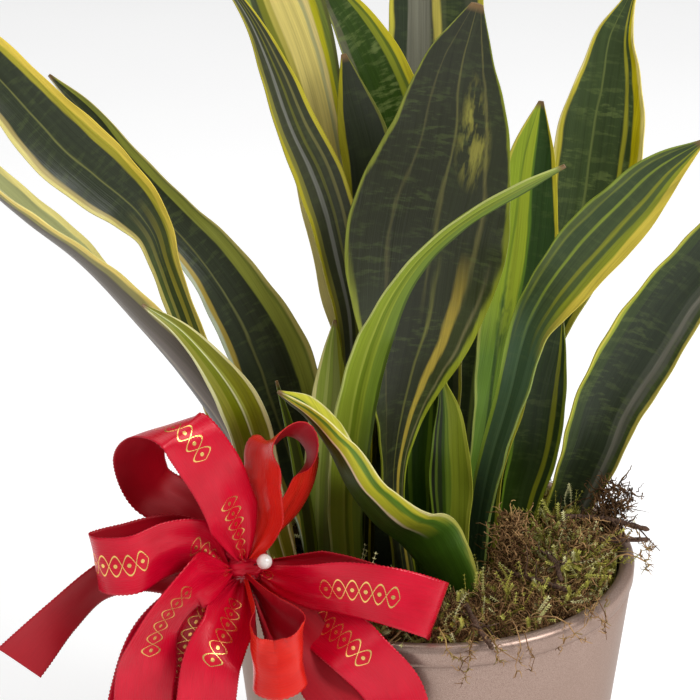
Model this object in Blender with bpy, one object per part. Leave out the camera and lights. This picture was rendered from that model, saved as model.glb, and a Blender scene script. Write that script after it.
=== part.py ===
"""A snake plant in a round cover pot, with moss round its foot and a satin ribbon bow on the rim.

Metres, +Z up. The origin is the centre of the pot's flat underside, and -Y is the front.
"""

import math

import bmesh
import bpy
import numpy as np
from mathutils import Vector

# Driving dimensions.
GAP = 0.0003  # between two pieces that touch

POT_HEIGHT = 0.175
POT_RIM_RADIUS = 0.095
POT_BASE_RADIUS = 0.076
POT_WALL = 0.006
POT_FLOOR = 0.008
POT_LIP_HEIGHT = 0.009  # the rounded band round the rim
POT_LIP_STEP = 0.0012  # how far that band stands out from the wall
POT_FOOT_ROUND = 0.003

LINER_CLEARANCE = 0.0012  # between the cover pot's wall and the grower's pot
LINER_WALL = 0.0015
SOIL_DEPTH = 0.025  # the soil lies this far below the pot's rim

LEAF_RISE = 1.0  # stretches every leaf upwards
LEAF_THICKNESS = 0.0024  # along the middle of a blade
LEAF_MARGIN = 0.0007  # along its edges
LEAF_TIP_WIDTH = 0.0008  # no blade gets narrower than this
LEAF_SLENDER = 0.02  # a blade narrower than about this is thinner too
LEAF_SLENDER_SHARE = 0.35  # of the thickness that even the narrowest keeps
STATION_SOIL_RADIUS = 0.083  # the soil radius that the leaf stations were set out on

TWIG_RADIUS = 0.0012

RIBBON_WIDTH = 0.025
RIBBON_THICKNESS = 0.0008
KNOT_SIZE = (0.017, 0.010, 0.010)
KNOT_STANDOFF = 0.011  # the knot's centre stands this far outside the rim
KNOT_RISE = 0.024  # and this far above it
KNOT_ANGLE = 218.5  # round the pot from +X, in degrees
PEARL_RADIUS = 0.0034
PIN_RADIUS = 0.0004
PIN_LENGTH = 0.0035  # of it that shows between the pearl and the knot
PEARL_DIRECTION = (0.90, -0.75, 0.70)
PICK_RADIUS = 0.001
PICK_INSET = 0.014  # its foot stands this far inside the soil's edge
PICK_SLANT = -0.9  # it meets the knot from below, on the side towards the plant
ROOT_WIDTH = 0.0035  # of a ribbon where it leaves the knot
ROOT_GAP = 0.0012
GATHER_LENGTH = 0.024
GATHER_CURVE = 0.8  # below 1 the ribbon widens fast near the knot and slowly after

POT_SIDES = 56
LEAF_RINGS = 12
LEAF_ACROSS = 5
RIBBON_RINGS = 22
KNOT_SIDES = 20
PEARL_SIDES = 16

# What follows from them.
SOIL_TOP = POT_HEIGHT - SOIL_DEPTH
POT_LIP_LOW = POT_HEIGHT - POT_LIP_HEIGHT  # the inner wall is straight from the floor up to here
POT_BORE_TOP = POT_RIM_RADIUS - POT_LIP_STEP - POT_WALL
POT_BORE_FOOT = POT_BASE_RADIUS - POT_WALL
SOIL_SHARE = (SOIL_TOP - POT_FLOOR) / (POT_LIP_LOW - POT_FLOOR)
LINER_RIM_RADIUS = POT_BORE_FOOT + (POT_BORE_TOP - POT_BORE_FOOT) * SOIL_SHARE - LINER_CLEARANCE
SOIL_RADIUS = LINER_RIM_RADIUS - LINER_WALL - GAP
LEAF_SPREAD = SOIL_RADIUS / STATION_SOIL_RADIUS
FACE = np.array((0.0, -0.92, 0.39))  # a blade with no turn faces this way

# Each leaf: its cup in degrees at the foot and at the tip, then its stations from foot to tip, as
# (x, y, height above the soil, width, turn in degrees).
LEAVES = {
    "leaf_broad_front": (70, 25, [
        (-0.012, 0.008, 0.000, 0.016, 50),
        (-0.018, 0.010, 0.060, 0.018, 50),
        (-0.015, 0.009, 0.091, 0.032, 38),
        (-0.008, 0.006, 0.132, 0.056, 15),
        (-0.003, 0.000, 0.180, 0.073, 0),
        (0.005, -0.008, 0.224, 0.056, 0),
        (0.010, -0.015, 0.264, 0.030, 0),
        (0.016, -0.018, 0.289, 0.005, 0),
    ]),
    "leaf_lime_half": (80, 30, [
        (0.024, 0.031, 0.000, 0.016, 0),
        (0.028, 0.034, 0.054, 0.018, 0),
        (0.033, 0.036, 0.084, 0.025, 0),
        (0.038, 0.038, 0.119, 0.032, 0),
        (0.042, 0.040, 0.153, 0.033, 0),
        (0.044, 0.042, 0.181, 0.027, 0),
        (0.046, 0.044, 0.205, 0.019, 0),
        (0.049, 0.045, 0.227, 0.002, 0),
    ]),
    "leaf_tall_right": (90, 50, [
        (0.036, 0.044, 0.000, 0.016, -10),
        (0.044, 0.049, 0.068, 0.018, -10),
        (0.050, 0.053, 0.102, 0.022, -10),
        (0.060, 0.057, 0.126, 0.027, -10),
        (0.071, 0.061, 0.150, 0.035, -10),
        (0.078, 0.068, 0.189, 0.043, -10),
        (0.080, 0.071, 0.208, 0.041, -10),
        (0.083, 0.075, 0.231, 0.029, -10),
        (0.085, 0.077, 0.249, 0.018, -10),
        (0.090, 0.079, 0.263, 0.007, -10),
        (0.095, 0.080, 0.275, 0.001, -10),
    ]),
    "leaf_arching_right": (110, 30, [
        (0.022, 0.020, 0.000, 0.014, -30),
        (0.026, 0.018, 0.040, 0.015, -40),
        (0.031, 0.014, 0.068, 0.016, -40),
        (0.037, 0.010, 0.095, 0.017, -35),
        (0.045, 0.004, 0.134, 0.020, -20),
        (0.058, -0.006, 0.162, 0.027, 0),
        (0.079, -0.016, 0.194, 0.029, 10),
        (0.095, -0.026, 0.217, 0.019, 10),
        (0.111, -0.035, 0.234, 0.002, 10),
    ]),
    "leaf_low_right": (100, 60, [
        (0.060, 0.037, 0.000, 0.018, 10),
        (0.068, 0.036, 0.034, 0.025, 10),
        (0.076, 0.032, 0.060, 0.031, 10),
        (0.083, 0.028, 0.087, 0.036, 10),
        (0.095, 0.024, 0.114, 0.038, 10),
        (0.110, 0.020, 0.143, 0.034, 10),
        (0.122, 0.018, 0.160, 0.030, 10),
        (0.139, 0.014, 0.189, 0.021, 10),
        (0.156, 0.010, 0.220, 0.002, 10),
    ]),
    "leaf_dark_right": (90, 40, [
        (0.040, 0.036, 0.000, 0.014, 0),
        (0.045, 0.037, 0.036, 0.021, 0),
        (0.050, 0.038, 0.057, 0.024, 0),
        (0.053, 0.039, 0.083, 0.023, 0),
        (0.058, 0.040, 0.108, 0.012, 0),
        (0.061, 0.040, 0.124, 0.002, 0),
    ]),
    "leaf_short_centre": (90, 40, [
        (0.011, 0.009, 0.000, 0.014, 0),
        (0.010, 0.012, 0.034, 0.018, 0),
        (0.010, 0.014, 0.049, 0.021, 0),
        (0.009, 0.015, 0.068, 0.018, 0),
        (0.008, 0.017, 0.087, 0.011, 0),
        (0.005, 0.018, 0.103, 0.001, 0),
    ]),
    "leaf_inner_centre": (90, 40, [
        (-0.002, 0.021, 0.000, 0.014, 0),
        (-0.004, 0.022, 0.054, 0.020, 0),
        (-0.003, 0.023, 0.089, 0.022, 0),
        (-0.003, 0.024, 0.124, 0.018, 0),
        (-0.005, 0.025, 0.157, 0.002, 0),
    ]),
    "leaf_thin_arching": (80, 30, [
        (-0.037, -0.004, 0.000, 0.014, 0),
        (-0.039, -0.006, 0.052, 0.017, 0),
        (-0.037, -0.014, 0.086, 0.019, 10),
        (-0.033, -0.024, 0.118, 0.019, 20),
        (-0.026, -0.034, 0.146, 0.017, 30),
        (-0.017, -0.042, 0.170, 0.014, 45),
        (-0.006, -0.048, 0.188, 0.012, 60),
        (0.011, -0.054, 0.206, 0.010, 60),
        (0.033, -0.060, 0.222, 0.008, 60),
        (0.051, -0.064, 0.233, 0.002, 60),
    ]),
    "leaf_folded_front": (150, 90, [
        (0.006, -0.020, 0.000, 0.036, 80),
        (0.001, -0.024, 0.020, 0.054, 96),
        (-0.010, -0.030, 0.041, 0.062, 104),
        (-0.025, -0.042, 0.061, 0.062, 102),
        (-0.036, -0.049, 0.080, 0.052, 98),
        (-0.046, -0.050, 0.102, 0.040, 92),
        (-0.057, -0.051, 0.118, 0.022, 86),
        (-0.068, -0.052, 0.127, 0.002, 84),
    ]),
    "leaf_small_left": (80, 30, [
        (-0.060, -0.022, 0.000, 0.012, 0),
        (-0.072, -0.024, 0.050, 0.014, 0),
        (-0.077, -0.027, 0.075, 0.018, 0),
        (-0.081, -0.031, 0.097, 0.019, 0),
        (-0.086, -0.035, 0.113, 0.019, 10),
        (-0.098, -0.039, 0.135, 0.013, 20),
        (-0.111, -0.042, 0.152, 0.007, 20),
        (-0.126, -0.044, 0.164, 0.001, 20),
    ]),
    "leaf_tiny_left": (60, 30, [
        (-0.052, -0.012, 0.000, 0.006, 0),
        (-0.058, -0.012, 0.054, 0.006, 0),
        (-0.062, -0.012, 0.080, 0.005, 0),
        (-0.070, -0.014, 0.115, 0.001, 0),
    ]),
    "leaf_grey_centre": (80, 30, [
        (-0.050, 0.003, 0.000, 0.014, 0),
        (-0.050, 0.004, 0.047, 0.017, 0),
        (-0.048, 0.004, 0.078, 0.019, 0),
        (-0.046, 0.004, 0.103, 0.016, 0),
        (-0.045, 0.004, 0.123, 0.008, 0),
        (-0.044, 0.004, 0.137, 0.001, 0),
    ]),
    "leaf_long_left": (120, 80, [
        (-0.066, 0.000, 0.000, 0.016, 130),
        (-0.080, -0.006, 0.060, 0.026, 125),
        (-0.093, -0.011, 0.091, 0.032, 120),
        (-0.110, -0.017, 0.121, 0.036, 112),
        (-0.130, -0.024, 0.150, 0.037, 102),
        (-0.154, -0.030, 0.181, 0.034, 88),
        (-0.174, -0.035, 0.201, 0.030, 78),
        (-0.195, -0.040, 0.225, 0.020, 70),
        (-0.212, -0.044, 0.250, 0.002, 65),
    ]),
    "leaf_tall_striped": (70, 50, [
        (-0.034, 0.012, 0.000, 0.012, 0),
        (-0.033, 0.012, 0.059, 0.012, 0),
        (-0.034, 0.010, 0.105, 0.014, 0),
        (-0.036, 0.009, 0.140, 0.017, 0),
        (-0.041, 0.008, 0.167, 0.020, 0),
        (-0.046, 0.008, 0.189, 0.022, 0),
        (-0.051, 0.008, 0.205, 0.022, 0),
        (-0.060, 0.009, 0.225, 0.019, 0),
        (-0.069, 0.010, 0.250, 0.014, 0),
        (-0.079, 0.010, 0.273, 0.007, 0),
        (-0.095, 0.010, 0.298, 0.001, 0),
    ]),
    "leaf_curled_margin": (60, 30, [
        (-0.032, 0.019, 0.000, 0.012, 0),
        (-0.032, 0.018, 0.082, 0.013, 0),
        (-0.035, 0.018, 0.117, 0.014, 0),
        (-0.043, 0.018, 0.142, 0.014, 0),
        (-0.049, 0.018, 0.166, 0.011, 0),
        (-0.055, 0.018, 0.185, 0.008, 0),
        (-0.062, 0.018, 0.206, 0.001, 0),
    ]),
    "leaf_pale_yellow": (80, 40, [
        (-0.032, 0.031, 0.000, 0.012, 0),
        (-0.034, 0.030, 0.108, 0.013, 0),
        (-0.037, 0.030, 0.147, 0.015, 0),
        (-0.042, 0.031, 0.181, 0.018, 0),
        (-0.047, 0.032, 0.209, 0.022, 0),
        (-0.052, 0.034, 0.232, 0.025, 0),
        (-0.057, 0.035, 0.250, 0.029, 0),
        (-0.067, 0.037, 0.277, 0.033, 0),
        (-0.076, 0.038, 0.299, 0.018, 0),
        (-0.080, 0.039, 0.312, 0.001, 0),
    ]),
    "leaf_mottled_top": (80, 30, [
        (-0.016, 0.039, 0.000, 0.014, 0),
        (-0.018, 0.038, 0.073, 0.016, 0),
        (-0.016, 0.039, 0.119, 0.020, 0),
        (-0.013, 0.040, 0.153, 0.025, 0),
        (-0.014, 0.041, 0.192, 0.031, 0),
        (-0.018, 0.042, 0.222, 0.031, 0),
        (-0.027, 0.043, 0.247, 0.026, 0),
        (-0.036, 0.044, 0.264, 0.019, 0),
        (-0.043, 0.044, 0.275, 0.013, 0),
        (-0.051, 0.044, 0.293, 0.001, 0),
    ]),
    "leaf_dark_top": (70, 30, [
        (-0.022, 0.025, 0.000, 0.012, 0),
        (-0.025, 0.024, 0.122, 0.016, 0),
        (-0.026, 0.024, 0.157, 0.021, 0),
        (-0.027, 0.024, 0.186, 0.024, 0),
        (-0.029, 0.024, 0.206, 0.024, 0),
        (-0.033, 0.024, 0.225, 0.020, 0),
        (-0.037, 0.024, 0.241, 0.011, 0),
        (-0.040, 0.024, 0.255, 0.002, 0),
    ]),
    "leaf_tall_centre": (90, 40, [
        (0.006, 0.047, 0.000, 0.016, 0),
        (0.005, 0.051, 0.103, 0.023, 0),
        (0.004, 0.054, 0.152, 0.032, 0),
        (0.002, 0.057, 0.200, 0.041, 0),
        (0.002, 0.060, 0.242, 0.045, 0),
        (0.002, 0.061, 0.279, 0.041, 0),
        (0.003, 0.062, 0.311, 0.027, 0),
        (0.003, 0.062, 0.337, 0.001, 0),
    ]),
    "leaf_twisted_left": (120, 30, [
        (-0.068, 0.011, 0.000, 0.014, 0),
        (-0.088, 0.009, 0.067, 0.015, 0),
        (-0.099, 0.008, 0.098, 0.014, 0),
        (-0.109, 0.007, 0.128, 0.013, 0),
        (-0.115, 0.005, 0.148, 0.013, 0),
        (-0.120, 0.001, 0.167, 0.014, 0),
        (-0.124, 0.000, 0.181, 0.018, 0),
        (-0.132, -0.002, 0.194, 0.025, 0),
        (-0.144, -0.004, 0.206, 0.031, 0),
        (-0.159, -0.006, 0.221, 0.034, 0),
        (-0.179, -0.008, 0.245, 0.028, 0),
        (-0.203, -0.009, 0.273, 0.021, 0),
        (-0.224, -0.010, 0.298, 0.001, 0),
    ]),
    "leaf_wide_left": (90, 40, [
        (-0.050, 0.021, 0.000, 0.016, 0),
        (-0.053, 0.021, 0.029, 0.020, 0),
        (-0.059, 0.021, 0.055, 0.029, 0),
        (-0.065, 0.022, 0.080, 0.037, 0),
        (-0.072, 0.023, 0.106, 0.039, 0),
        (-0.083, 0.024, 0.131, 0.035, 0),
        (-0.098, 0.025, 0.155, 0.028, 0),
        (-0.115, 0.026, 0.175, 0.023, 0),
        (-0.138, 0.026, 0.204, 0.016, 0),
        (-0.155, 0.026, 0.229, 0.009, 0),
        (-0.170, 0.026, 0.245, 0.001, 0),
    ]),
    "leaf_back_centre": (90, 40, [
        (0.014, 0.062, 0.000, 0.016, 180),
        (0.016, 0.070, 0.060, 0.026, 180),
        (0.020, 0.080, 0.120, 0.036, 180),
        (0.024, 0.092, 0.170, 0.026, 180),
        (0.028, 0.104, 0.205, 0.002, 180),
    ]),
    "leaf_back_left": (90, 40, [
        (-0.040, 0.048, 0.000, 0.014, 190),
        (-0.050, 0.056, 0.036, 0.022, 190),
        (-0.062, 0.068, 0.066, 0.024, 190),
        (-0.073, 0.082, 0.088, 0.012, 190),
        (-0.080, 0.092, 0.098, 0.002, 190),
    ]),
    "leaf_back_right": (90, 40, [
        (0.046, 0.054, 0.000, 0.014, 160),
        (0.049, 0.062, 0.034, 0.020, 160),
        (0.052, 0.074, 0.060, 0.020, 160),
        (0.054, 0.088, 0.080, 0.010, 160),
        (0.055, 0.097, 0.091, 0.002, 160),
    ]),
}


# Round the pot's edge: where each moss clump starts and ends in degrees from +X, its inner radius, its height.
MOSS_CLUMPS = {
    "moss_right": (-26, 22, 0.052, 0.030),
    "moss_front_right": (-62, -29, 0.034, 0.027),
    "moss_front": (-98, -65, 0.045, 0.025),
    "moss_front_left": (221, 259, 0.046, 0.025),
    "moss_left": (178, 215, 0.076, 0.022),
    "moss_back_left": (118, 172, 0.080, 0.021),
    "moss_back": (61, 115, 0.075, 0.022),
    "moss_back_right": (31, 58, 0.081, 0.023),
}

MOSS_CROWN = (0.62, 0.92, 1.0, 0.92, 0.66)  # a clump's height from its inner edge to its outer, as shares
MOSS_DIP = 0.92  # the lowest that a point of it sinks, as a share
MOSS_STEP = 9  # degrees between a clump's sections
MOSS_SEED = 4

# Twigs that lie on the moss, as (x, y, height above the soil).
TWIGS = {
    "twig_long": [(0.030, -0.030, 0.029), (0.044, -0.040, 0.030), (0.060, -0.050, 0.029)],
    "twig_crossing": [(0.052, -0.020, 0.033), (0.056, -0.034, 0.033), (0.057, -0.048, 0.033)],
    "twig_rim_upper": [(0.062, 0.008, 0.037), (0.080, 0.004, 0.038), (0.101, -0.006, 0.037)],
    "twig_rim_lower": [(0.066, -0.006, 0.034), (0.082, -0.008, 0.033), (0.102, -0.002, 0.030)],
    "twig_rim_front": [(0.014, -0.062, 0.029), (0.017, -0.080, 0.030), (0.024, -0.101, 0.028)],
}

# The bow's loops and tails. Each row is a point of a ribbon's middle line, measured from the knot's
# centre, and the direction across the ribbon there. A first row, and a loop's last, is only the
# direction in which the ribbon leaves the knot.
LOOPS = {
    "loop_upper_left": [
        (-0.10, -0.45, 0.90, 0.87, 0.19, 0.46),
        (-0.005, -0.010, 0.033, 0.79, 0.59, 0.18),
        (-0.014, -0.018, 0.059, 0.83, 0.44, 0.34),
        (-0.025, -0.018, 0.074, 0.77, 0.62, 0.14),
        (-0.038, -0.006, 0.069, 0.68, 0.72, -0.15),
        (-0.045, 0.004, 0.054, 0.71, 0.63, -0.32),
        (-0.041, 0.010, 0.034, 0.70, 0.72, 0.00),
        (-0.025, 0.012, 0.022, 0.60, 0.76, 0.25),
        (-0.15, 0.45, 0.88, 0.40, 0.85, 0.10),
    ],
    "loop_left": [
        (-1.00, -0.38, 0.22, 0.10, -0.30, -0.95),
        (-0.019, -0.012, 0.016, 0.07, 0.30, -0.95),
        (-0.033, -0.026, 0.022, 0.03, -0.08, -1.00),
        (-0.047, -0.036, 0.020, 0.05, -0.20, -0.98),
        (-0.060, -0.032, 0.018, 0.15, -0.18, -0.97),
        (-0.063, -0.024, 0.016, 0.10, -0.12, -0.99),
        (-0.051, -0.018, 0.017, 0.03, -0.12, -0.99),
        (-0.034, -0.010, 0.018, 0.03, 0.00, -1.00),
        (-1.00, 0.30, -0.08, 0.05, 0.30, -0.95),
    ],
    "loop_upper_right": [
        (0.25, -0.30, 0.95, 0.90, -0.35, 0.10),
        (0.009, -0.001, 0.024, 0.60, -0.76, 0.22),
        (0.008, -0.003, 0.046, 0.62, -0.70, 0.34),
        (0.011, -0.003, 0.062, 0.50, -0.68, 0.54),
        (0.020, 0.002, 0.064, 0.24, -0.68, 0.70),
        (0.027, 0.006, 0.053, -0.10, -0.76, 0.64),
        (0.025, 0.007, 0.038, -0.36, -0.86, 0.36),
        (0.017, 0.005, 0.022, -0.50, -0.85, 0.10),
        (0.60, 0.20, 0.75, -0.40, -0.90, 0.00),
    ],
    "loop_right": [
        (1.00, -0.50, -0.10, 0.14, -0.39, -0.91),
        (0.025, -0.016, -0.001, 0.03, 0.30, -0.95),
        (0.046, -0.024, 0.002, 0.05, -0.02, -1.00),
        (0.066, -0.028, 0.000, 0.03, -0.28, -0.96),
        (0.083, -0.024, -0.008, -0.27, -0.37, -0.89),
        (0.083, -0.014, -0.014, -0.31, -0.09, -0.95),
        (0.067, -0.006, -0.012, 0.00, -0.06, -1.00),
        (0.041, 0.002, -0.006, 0.00, 0.10, -0.99),
        (1.00, 0.45, 0.00, 0.04, 0.30, -0.95),
    ],
    "loop_lower_right": [
        (0.75, -0.45, -0.70, 0.71, 0.28, 0.65),
        (0.029, -0.025, -0.029, 0.74, 0.40, 0.44),
        (0.042, -0.036, -0.046, 0.76, 0.38, 0.43),
        (0.056, -0.043, -0.062, 0.80, 0.33, 0.25),
        (0.068, -0.042, -0.061, 0.80, 0.25, -0.10),
        (0.066, -0.036, -0.045, 0.82, 0.12, 0.30),
        (0.050, -0.034, -0.024, 0.74, 0.10, 0.60),
        (0.029, -0.010, -0.017, 0.55, 0.55, 0.55),
        (0.88, 0.10, -0.55, 0.40, 0.85, 0.20),
    ],
    "loop_front": [
        (0.18, -0.92, -0.40, 0.14, 0.39, -0.91),
        (0.005, -0.027, -0.017, 0.03, 0.06, -1.00),
        (0.004, -0.038, -0.020, 0.03, -0.10, -0.99),
        (0.007, -0.047, -0.022, 0.03, -0.30, -0.95),
        (0.015, -0.051, -0.022, 0.02, -0.36, -0.93),
        (0.023, -0.047, -0.020, 0.03, -0.30, -0.95),
        (0.025, -0.037, -0.016, 0.03, -0.11, -0.99),
        (0.014, -0.026, -0.010, 0.03, 0.13, -0.99),
        (0.12, -0.98, -0.10, 0.03, 0.40, -0.90),
    ],
}

TAILS = {
    "tail_far_left": [
        (-0.90, 0.45, -0.35, 0.27, -0.37, -0.89),
        (-0.024, 0.003, -0.004, 0.07, 0.10, -0.99),
        (-0.046, -0.002, 0.002, 0.14, 0.10, -0.99),
        (-0.063, -0.010, -0.002, 0.24, 0.48, -0.84),
        (-0.080, -0.018, -0.015, 0.45, 0.50, -0.74),
        (-0.098, -0.024, -0.034, 0.66, 0.25, -0.71),
    ],
    "tail_outer": [
        (-0.80, 0.20, -0.75, 0.45, -0.35, -0.82),
        (-0.024, -0.008, -0.012, 0.69, 0.45, -0.57),
        (-0.038, -0.015, -0.027, 0.83, 0.12, -0.54),
        (-0.047, -0.018, -0.050, 0.87, 0.26, -0.41),
        (-0.051, -0.018, -0.078, 0.92, 0.25, -0.30),
        (-0.053, -0.018, -0.106, 0.95, 0.25, -0.15),
    ],
    "tail_twisted": [
        (-0.85, -0.60, 0.10, 0.39, -0.36, -0.85),
        (-0.021, -0.028, 0.006, 0.44, 0.48, -0.76),
        (-0.036, -0.036, -0.011, 0.40, 0.50, -0.70),
        (-0.042, -0.038, -0.034, 0.75, 0.05, -0.40),
        (-0.044, -0.037, -0.064, 0.90, 0.05, -0.20),
        (-0.046, -0.036, -0.094, 0.95, 0.10, -0.10),
    ],
    "tail_middle": [
        (-0.60, -0.30, -0.80, 0.83, -0.22, -0.51),
        (-0.018, -0.020, -0.011, 0.76, 0.34, -0.56),
        (-0.027, -0.026, -0.029, 0.86, 0.21, -0.46),
        (-0.034, -0.031, -0.053, 0.90, 0.23, -0.36),
        (-0.038, -0.033, -0.080, 0.95, 0.21, -0.24),
        (-0.040, -0.033, -0.102, 0.95, 0.21, -0.20),
    ],
    "tail_inner": [
        (-0.32, -0.50, -0.88, 0.96, -0.11, -0.25),
        (-0.008, -0.030, -0.016, 0.76, 0.40, -0.46),
        (-0.013, -0.040, -0.024, 0.92, 0.14, -0.36),
        (-0.016, -0.044, -0.042, 0.93, 0.16, -0.33),
        (-0.020, -0.043, -0.066, 0.96, 0.15, -0.25),
        (-0.022, -0.042, -0.090, 0.96, 0.15, -0.20),
    ],
}

def clear_scene():
    for item in list(bpy.data.objects):
        bpy.data.objects.remove(item)


def material(name, colour, roughness, metallic=0.0):
    made = bpy.data.materials.new(name)
    made.use_nodes = True
    shader = made.node_tree.nodes["Principled BSDF"]
    shader.inputs["Base Color"].default_value = (*colour, 1.0)
    shader.inputs["Roughness"].default_value = roughness
    shader.inputs["Metallic"].default_value = metallic
    made.diffuse_color = (*colour, 1.0)
    return made


def add_mesh(name, points, faces, look, smooth=True):
    """A closed mesh object, with its faces turned outwards."""
    shape = bmesh.new()
    made = [shape.verts.new(p) for p in points]
    for face in faces:
        shape.faces.new([made[i] for i in face])
    bmesh.ops.recalc_face_normals(shape, faces=shape.faces)
    mesh = bpy.data.meshes.new(name)
    shape.to_mesh(mesh)
    shape.free()
    if smooth:
        mesh.shade_smooth()
        mesh.set_sharp_from_angle(angle=math.radians(40))
    mesh.materials.append(look)
    item = bpy.data.objects.new(name, mesh)
    bpy.context.scene.collection.objects.link(item)
    return item


def turned(name, profile, sides, look):
    """A solid of revolution about Z. The profile is a list of (radius, z) whose two ends lie on the axis."""
    points = [(0.0, 0.0, profile[0][1])]
    for radius, z in profile[1:-1]:
        for k in range(sides):
            angle = 2 * math.pi * k / sides
            points.append((radius * math.cos(angle), radius * math.sin(angle), z))
    points.append((0.0, 0.0, profile[-1][1]))
    rings = len(profile) - 2
    faces = []
    for k in range(sides):
        after = (k + 1) % sides
        faces.append((0, 1 + k, 1 + after))
        for ring in range(rings - 1):
            low = 1 + ring * sides
            high = low + sides
            faces.append((low + k, low + after, high + after, high + k))
        last = 1 + (rings - 1) * sides
        faces.append((last + k, last + after, len(points) - 1))
    return add_mesh(name, points, faces, look)


def smooth_path(stations, count):
    """The stations' columns read at count places evenly spaced along a smooth curve through them."""
    table = np.array(stations, float)
    steps = np.linalg.norm(np.diff(table[:, :3], axis=0), axis=1)
    knots = np.concatenate([[0.0], np.cumsum(steps)])
    slopes = np.gradient(table, knots, axis=0)
    at = np.linspace(0.0, knots[-1], count)
    k = np.clip(np.searchsorted(knots, at, side="right") - 1, 0, len(knots) - 2)
    span = (knots[k + 1] - knots[k])[:, None]
    t = (at - knots[k])[:, None] / span
    return (
        (2 * t**3 - 3 * t**2 + 1) * table[k]
        + (t**3 - 2 * t**2 + t) * span * slopes[k]
        + (3 * t**2 - 2 * t**3) * table[k + 1]
        + (t**3 - t**2) * span * slopes[k + 1]
    )


def unit(rows):
    return rows / np.linalg.norm(rows, axis=-1, keepdims=True)


def leaf_frame(path):
    """Along the blade, across it and out of its face, at each point of its middle line."""
    along = unit(np.gradient(path[:, :3], axis=0))
    facing = unit(FACE - (along @ FACE)[:, None] * along)
    side = np.cross(along, facing)
    turn = np.radians(path[:, 4])[:, None]
    return along, side * np.cos(turn) - facing * np.sin(turn), facing * np.cos(turn) + side * np.sin(turn)


def leaf_points(stations, cup_foot, cup_tip, rings, across):
    """Points on the inner and the outer face of a cupped blade, each (rings, across, 3)."""
    path = smooth_path(stations, rings)
    path[:, :2] *= LEAF_SPREAD
    path[:, 2] = SOIL_TOP + GAP + path[:, 2] * LEAF_RISE
    width = np.maximum(path[:, 3], LEAF_TIP_WIDTH)[:, None, None]
    _, side, face = leaf_frame(path)
    share = np.linspace(0.0, 1.0, rings)
    half = np.radians(cup_foot + (cup_tip - cup_foot) * share)[:, None, None] / 2
    u = np.linspace(-1.0, 1.0, across)[None, :, None]
    side, face = side[:, None, :], face[:, None, :]
    inner = path[:, None, :3] + width / 2 * (side * np.sin(half * u) + face * (1 - np.cos(half * u))) / half
    normal = face * np.cos(half * u) - side * np.sin(half * u)
    middle = LEAF_THICKNESS * np.minimum(1.0, LEAF_SLENDER_SHARE + width / LEAF_SLENDER)
    thickness = LEAF_MARGIN + (middle - LEAF_MARGIN) * (1 - u**2)
    outer = inner - normal * thickness
    for face_points in (inner, outer):
        face_points[..., 2] = np.maximum(face_points[..., 2], SOIL_TOP + GAP)
    return inner, outer


def swept(name, rings, look):
    """A solid through closed rings of points, capped at both ends."""
    count, around = len(rings), len(rings[0])
    points = [tuple(p) for ring in rings for p in ring]
    faces = [tuple(range(around)), tuple(range((count - 1) * around, count * around))]
    for i in range(count - 1):
        for k in range(around):
            after = (k + 1) % around
            faces.append((i * around + k, i * around + after, (i + 1) * around + after, (i + 1) * around + k))
    return add_mesh(name, points, faces, look)


def leaf(name, cup_foot, cup_tip, stations, look):
    inner, outer = leaf_points(stations, cup_foot, cup_tip, LEAF_RINGS, LEAF_ACROSS)
    rings = np.concatenate([inner, outer[:, ::-1]], axis=1)
    return swept(name, rings, look)


def build_leaves():
    look = material("leaf_green", (0.06, 0.10, 0.03), 0.35)
    for name, (cup_foot, cup_tip, stations) in LEAVES.items():
        leaf(name, cup_foot, cup_tip, stations, look)


def arc(centre_radius, centre_z, radius, first, last, steps):
    """Points (radius, z) on an arc in the pot's section, from one angle to another in degrees."""
    angles = np.radians(np.linspace(first, last, steps))
    return [(centre_radius + radius * math.cos(a), centre_z + radius * math.sin(a)) for a in angles]


def build_pot():
    lip_radius = (POT_WALL + POT_LIP_STEP) / 2
    lip_centre = POT_RIM_RADIUS - lip_radius
    wall_top = POT_RIM_RADIUS - POT_LIP_STEP
    profile = [(0.0, 0.0)]
    profile += arc(POT_BASE_RADIUS - POT_FOOT_ROUND, POT_FOOT_ROUND, POT_FOOT_ROUND, -90, -6, 4)
    profile.append((wall_top, POT_LIP_LOW - POT_LIP_STEP))
    profile.append((POT_RIM_RADIUS, POT_LIP_LOW + POT_LIP_STEP))
    profile += arc(lip_centre, POT_HEIGHT - lip_radius, lip_radius, 0, 180, 7)
    profile.append((POT_BORE_TOP, POT_LIP_LOW))
    profile.append((POT_BORE_FOOT, POT_FLOOR))
    profile.append((0.0, POT_FLOOR))
    return turned("pot", profile, POT_SIDES, material("satin_glaze", (0.42, 0.34, 0.30), 0.35))


def build_liner_and_soil():
    rim_z = SOIL_TOP
    foot_z = POT_FLOOR + GAP
    foot_radius = POT_BORE_FOOT - LINER_CLEARANCE
    inner_foot = foot_radius - LINER_WALL
    profile = [
        (0.0, foot_z),
        (foot_radius, foot_z),
        (LINER_RIM_RADIUS, rim_z),
        (LINER_RIM_RADIUS - LINER_WALL, rim_z),
        (inner_foot, foot_z + LINER_WALL),
        (0.0, foot_z + LINER_WALL),
    ]
    turned("growers_pot", profile, POT_SIDES, material("black_plastic", (0.02, 0.02, 0.02), 0.5))
    soil_foot = foot_z + LINER_WALL + GAP
    profile = [
        (0.0, soil_foot),
        (inner_foot - GAP, soil_foot),
        (LINER_RIM_RADIUS - LINER_WALL - GAP, rim_z),
        (0.0, rim_z),
    ]
    turned("potting_soil", profile, POT_SIDES, material("soil", (0.05, 0.03, 0.02), 0.95))


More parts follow.
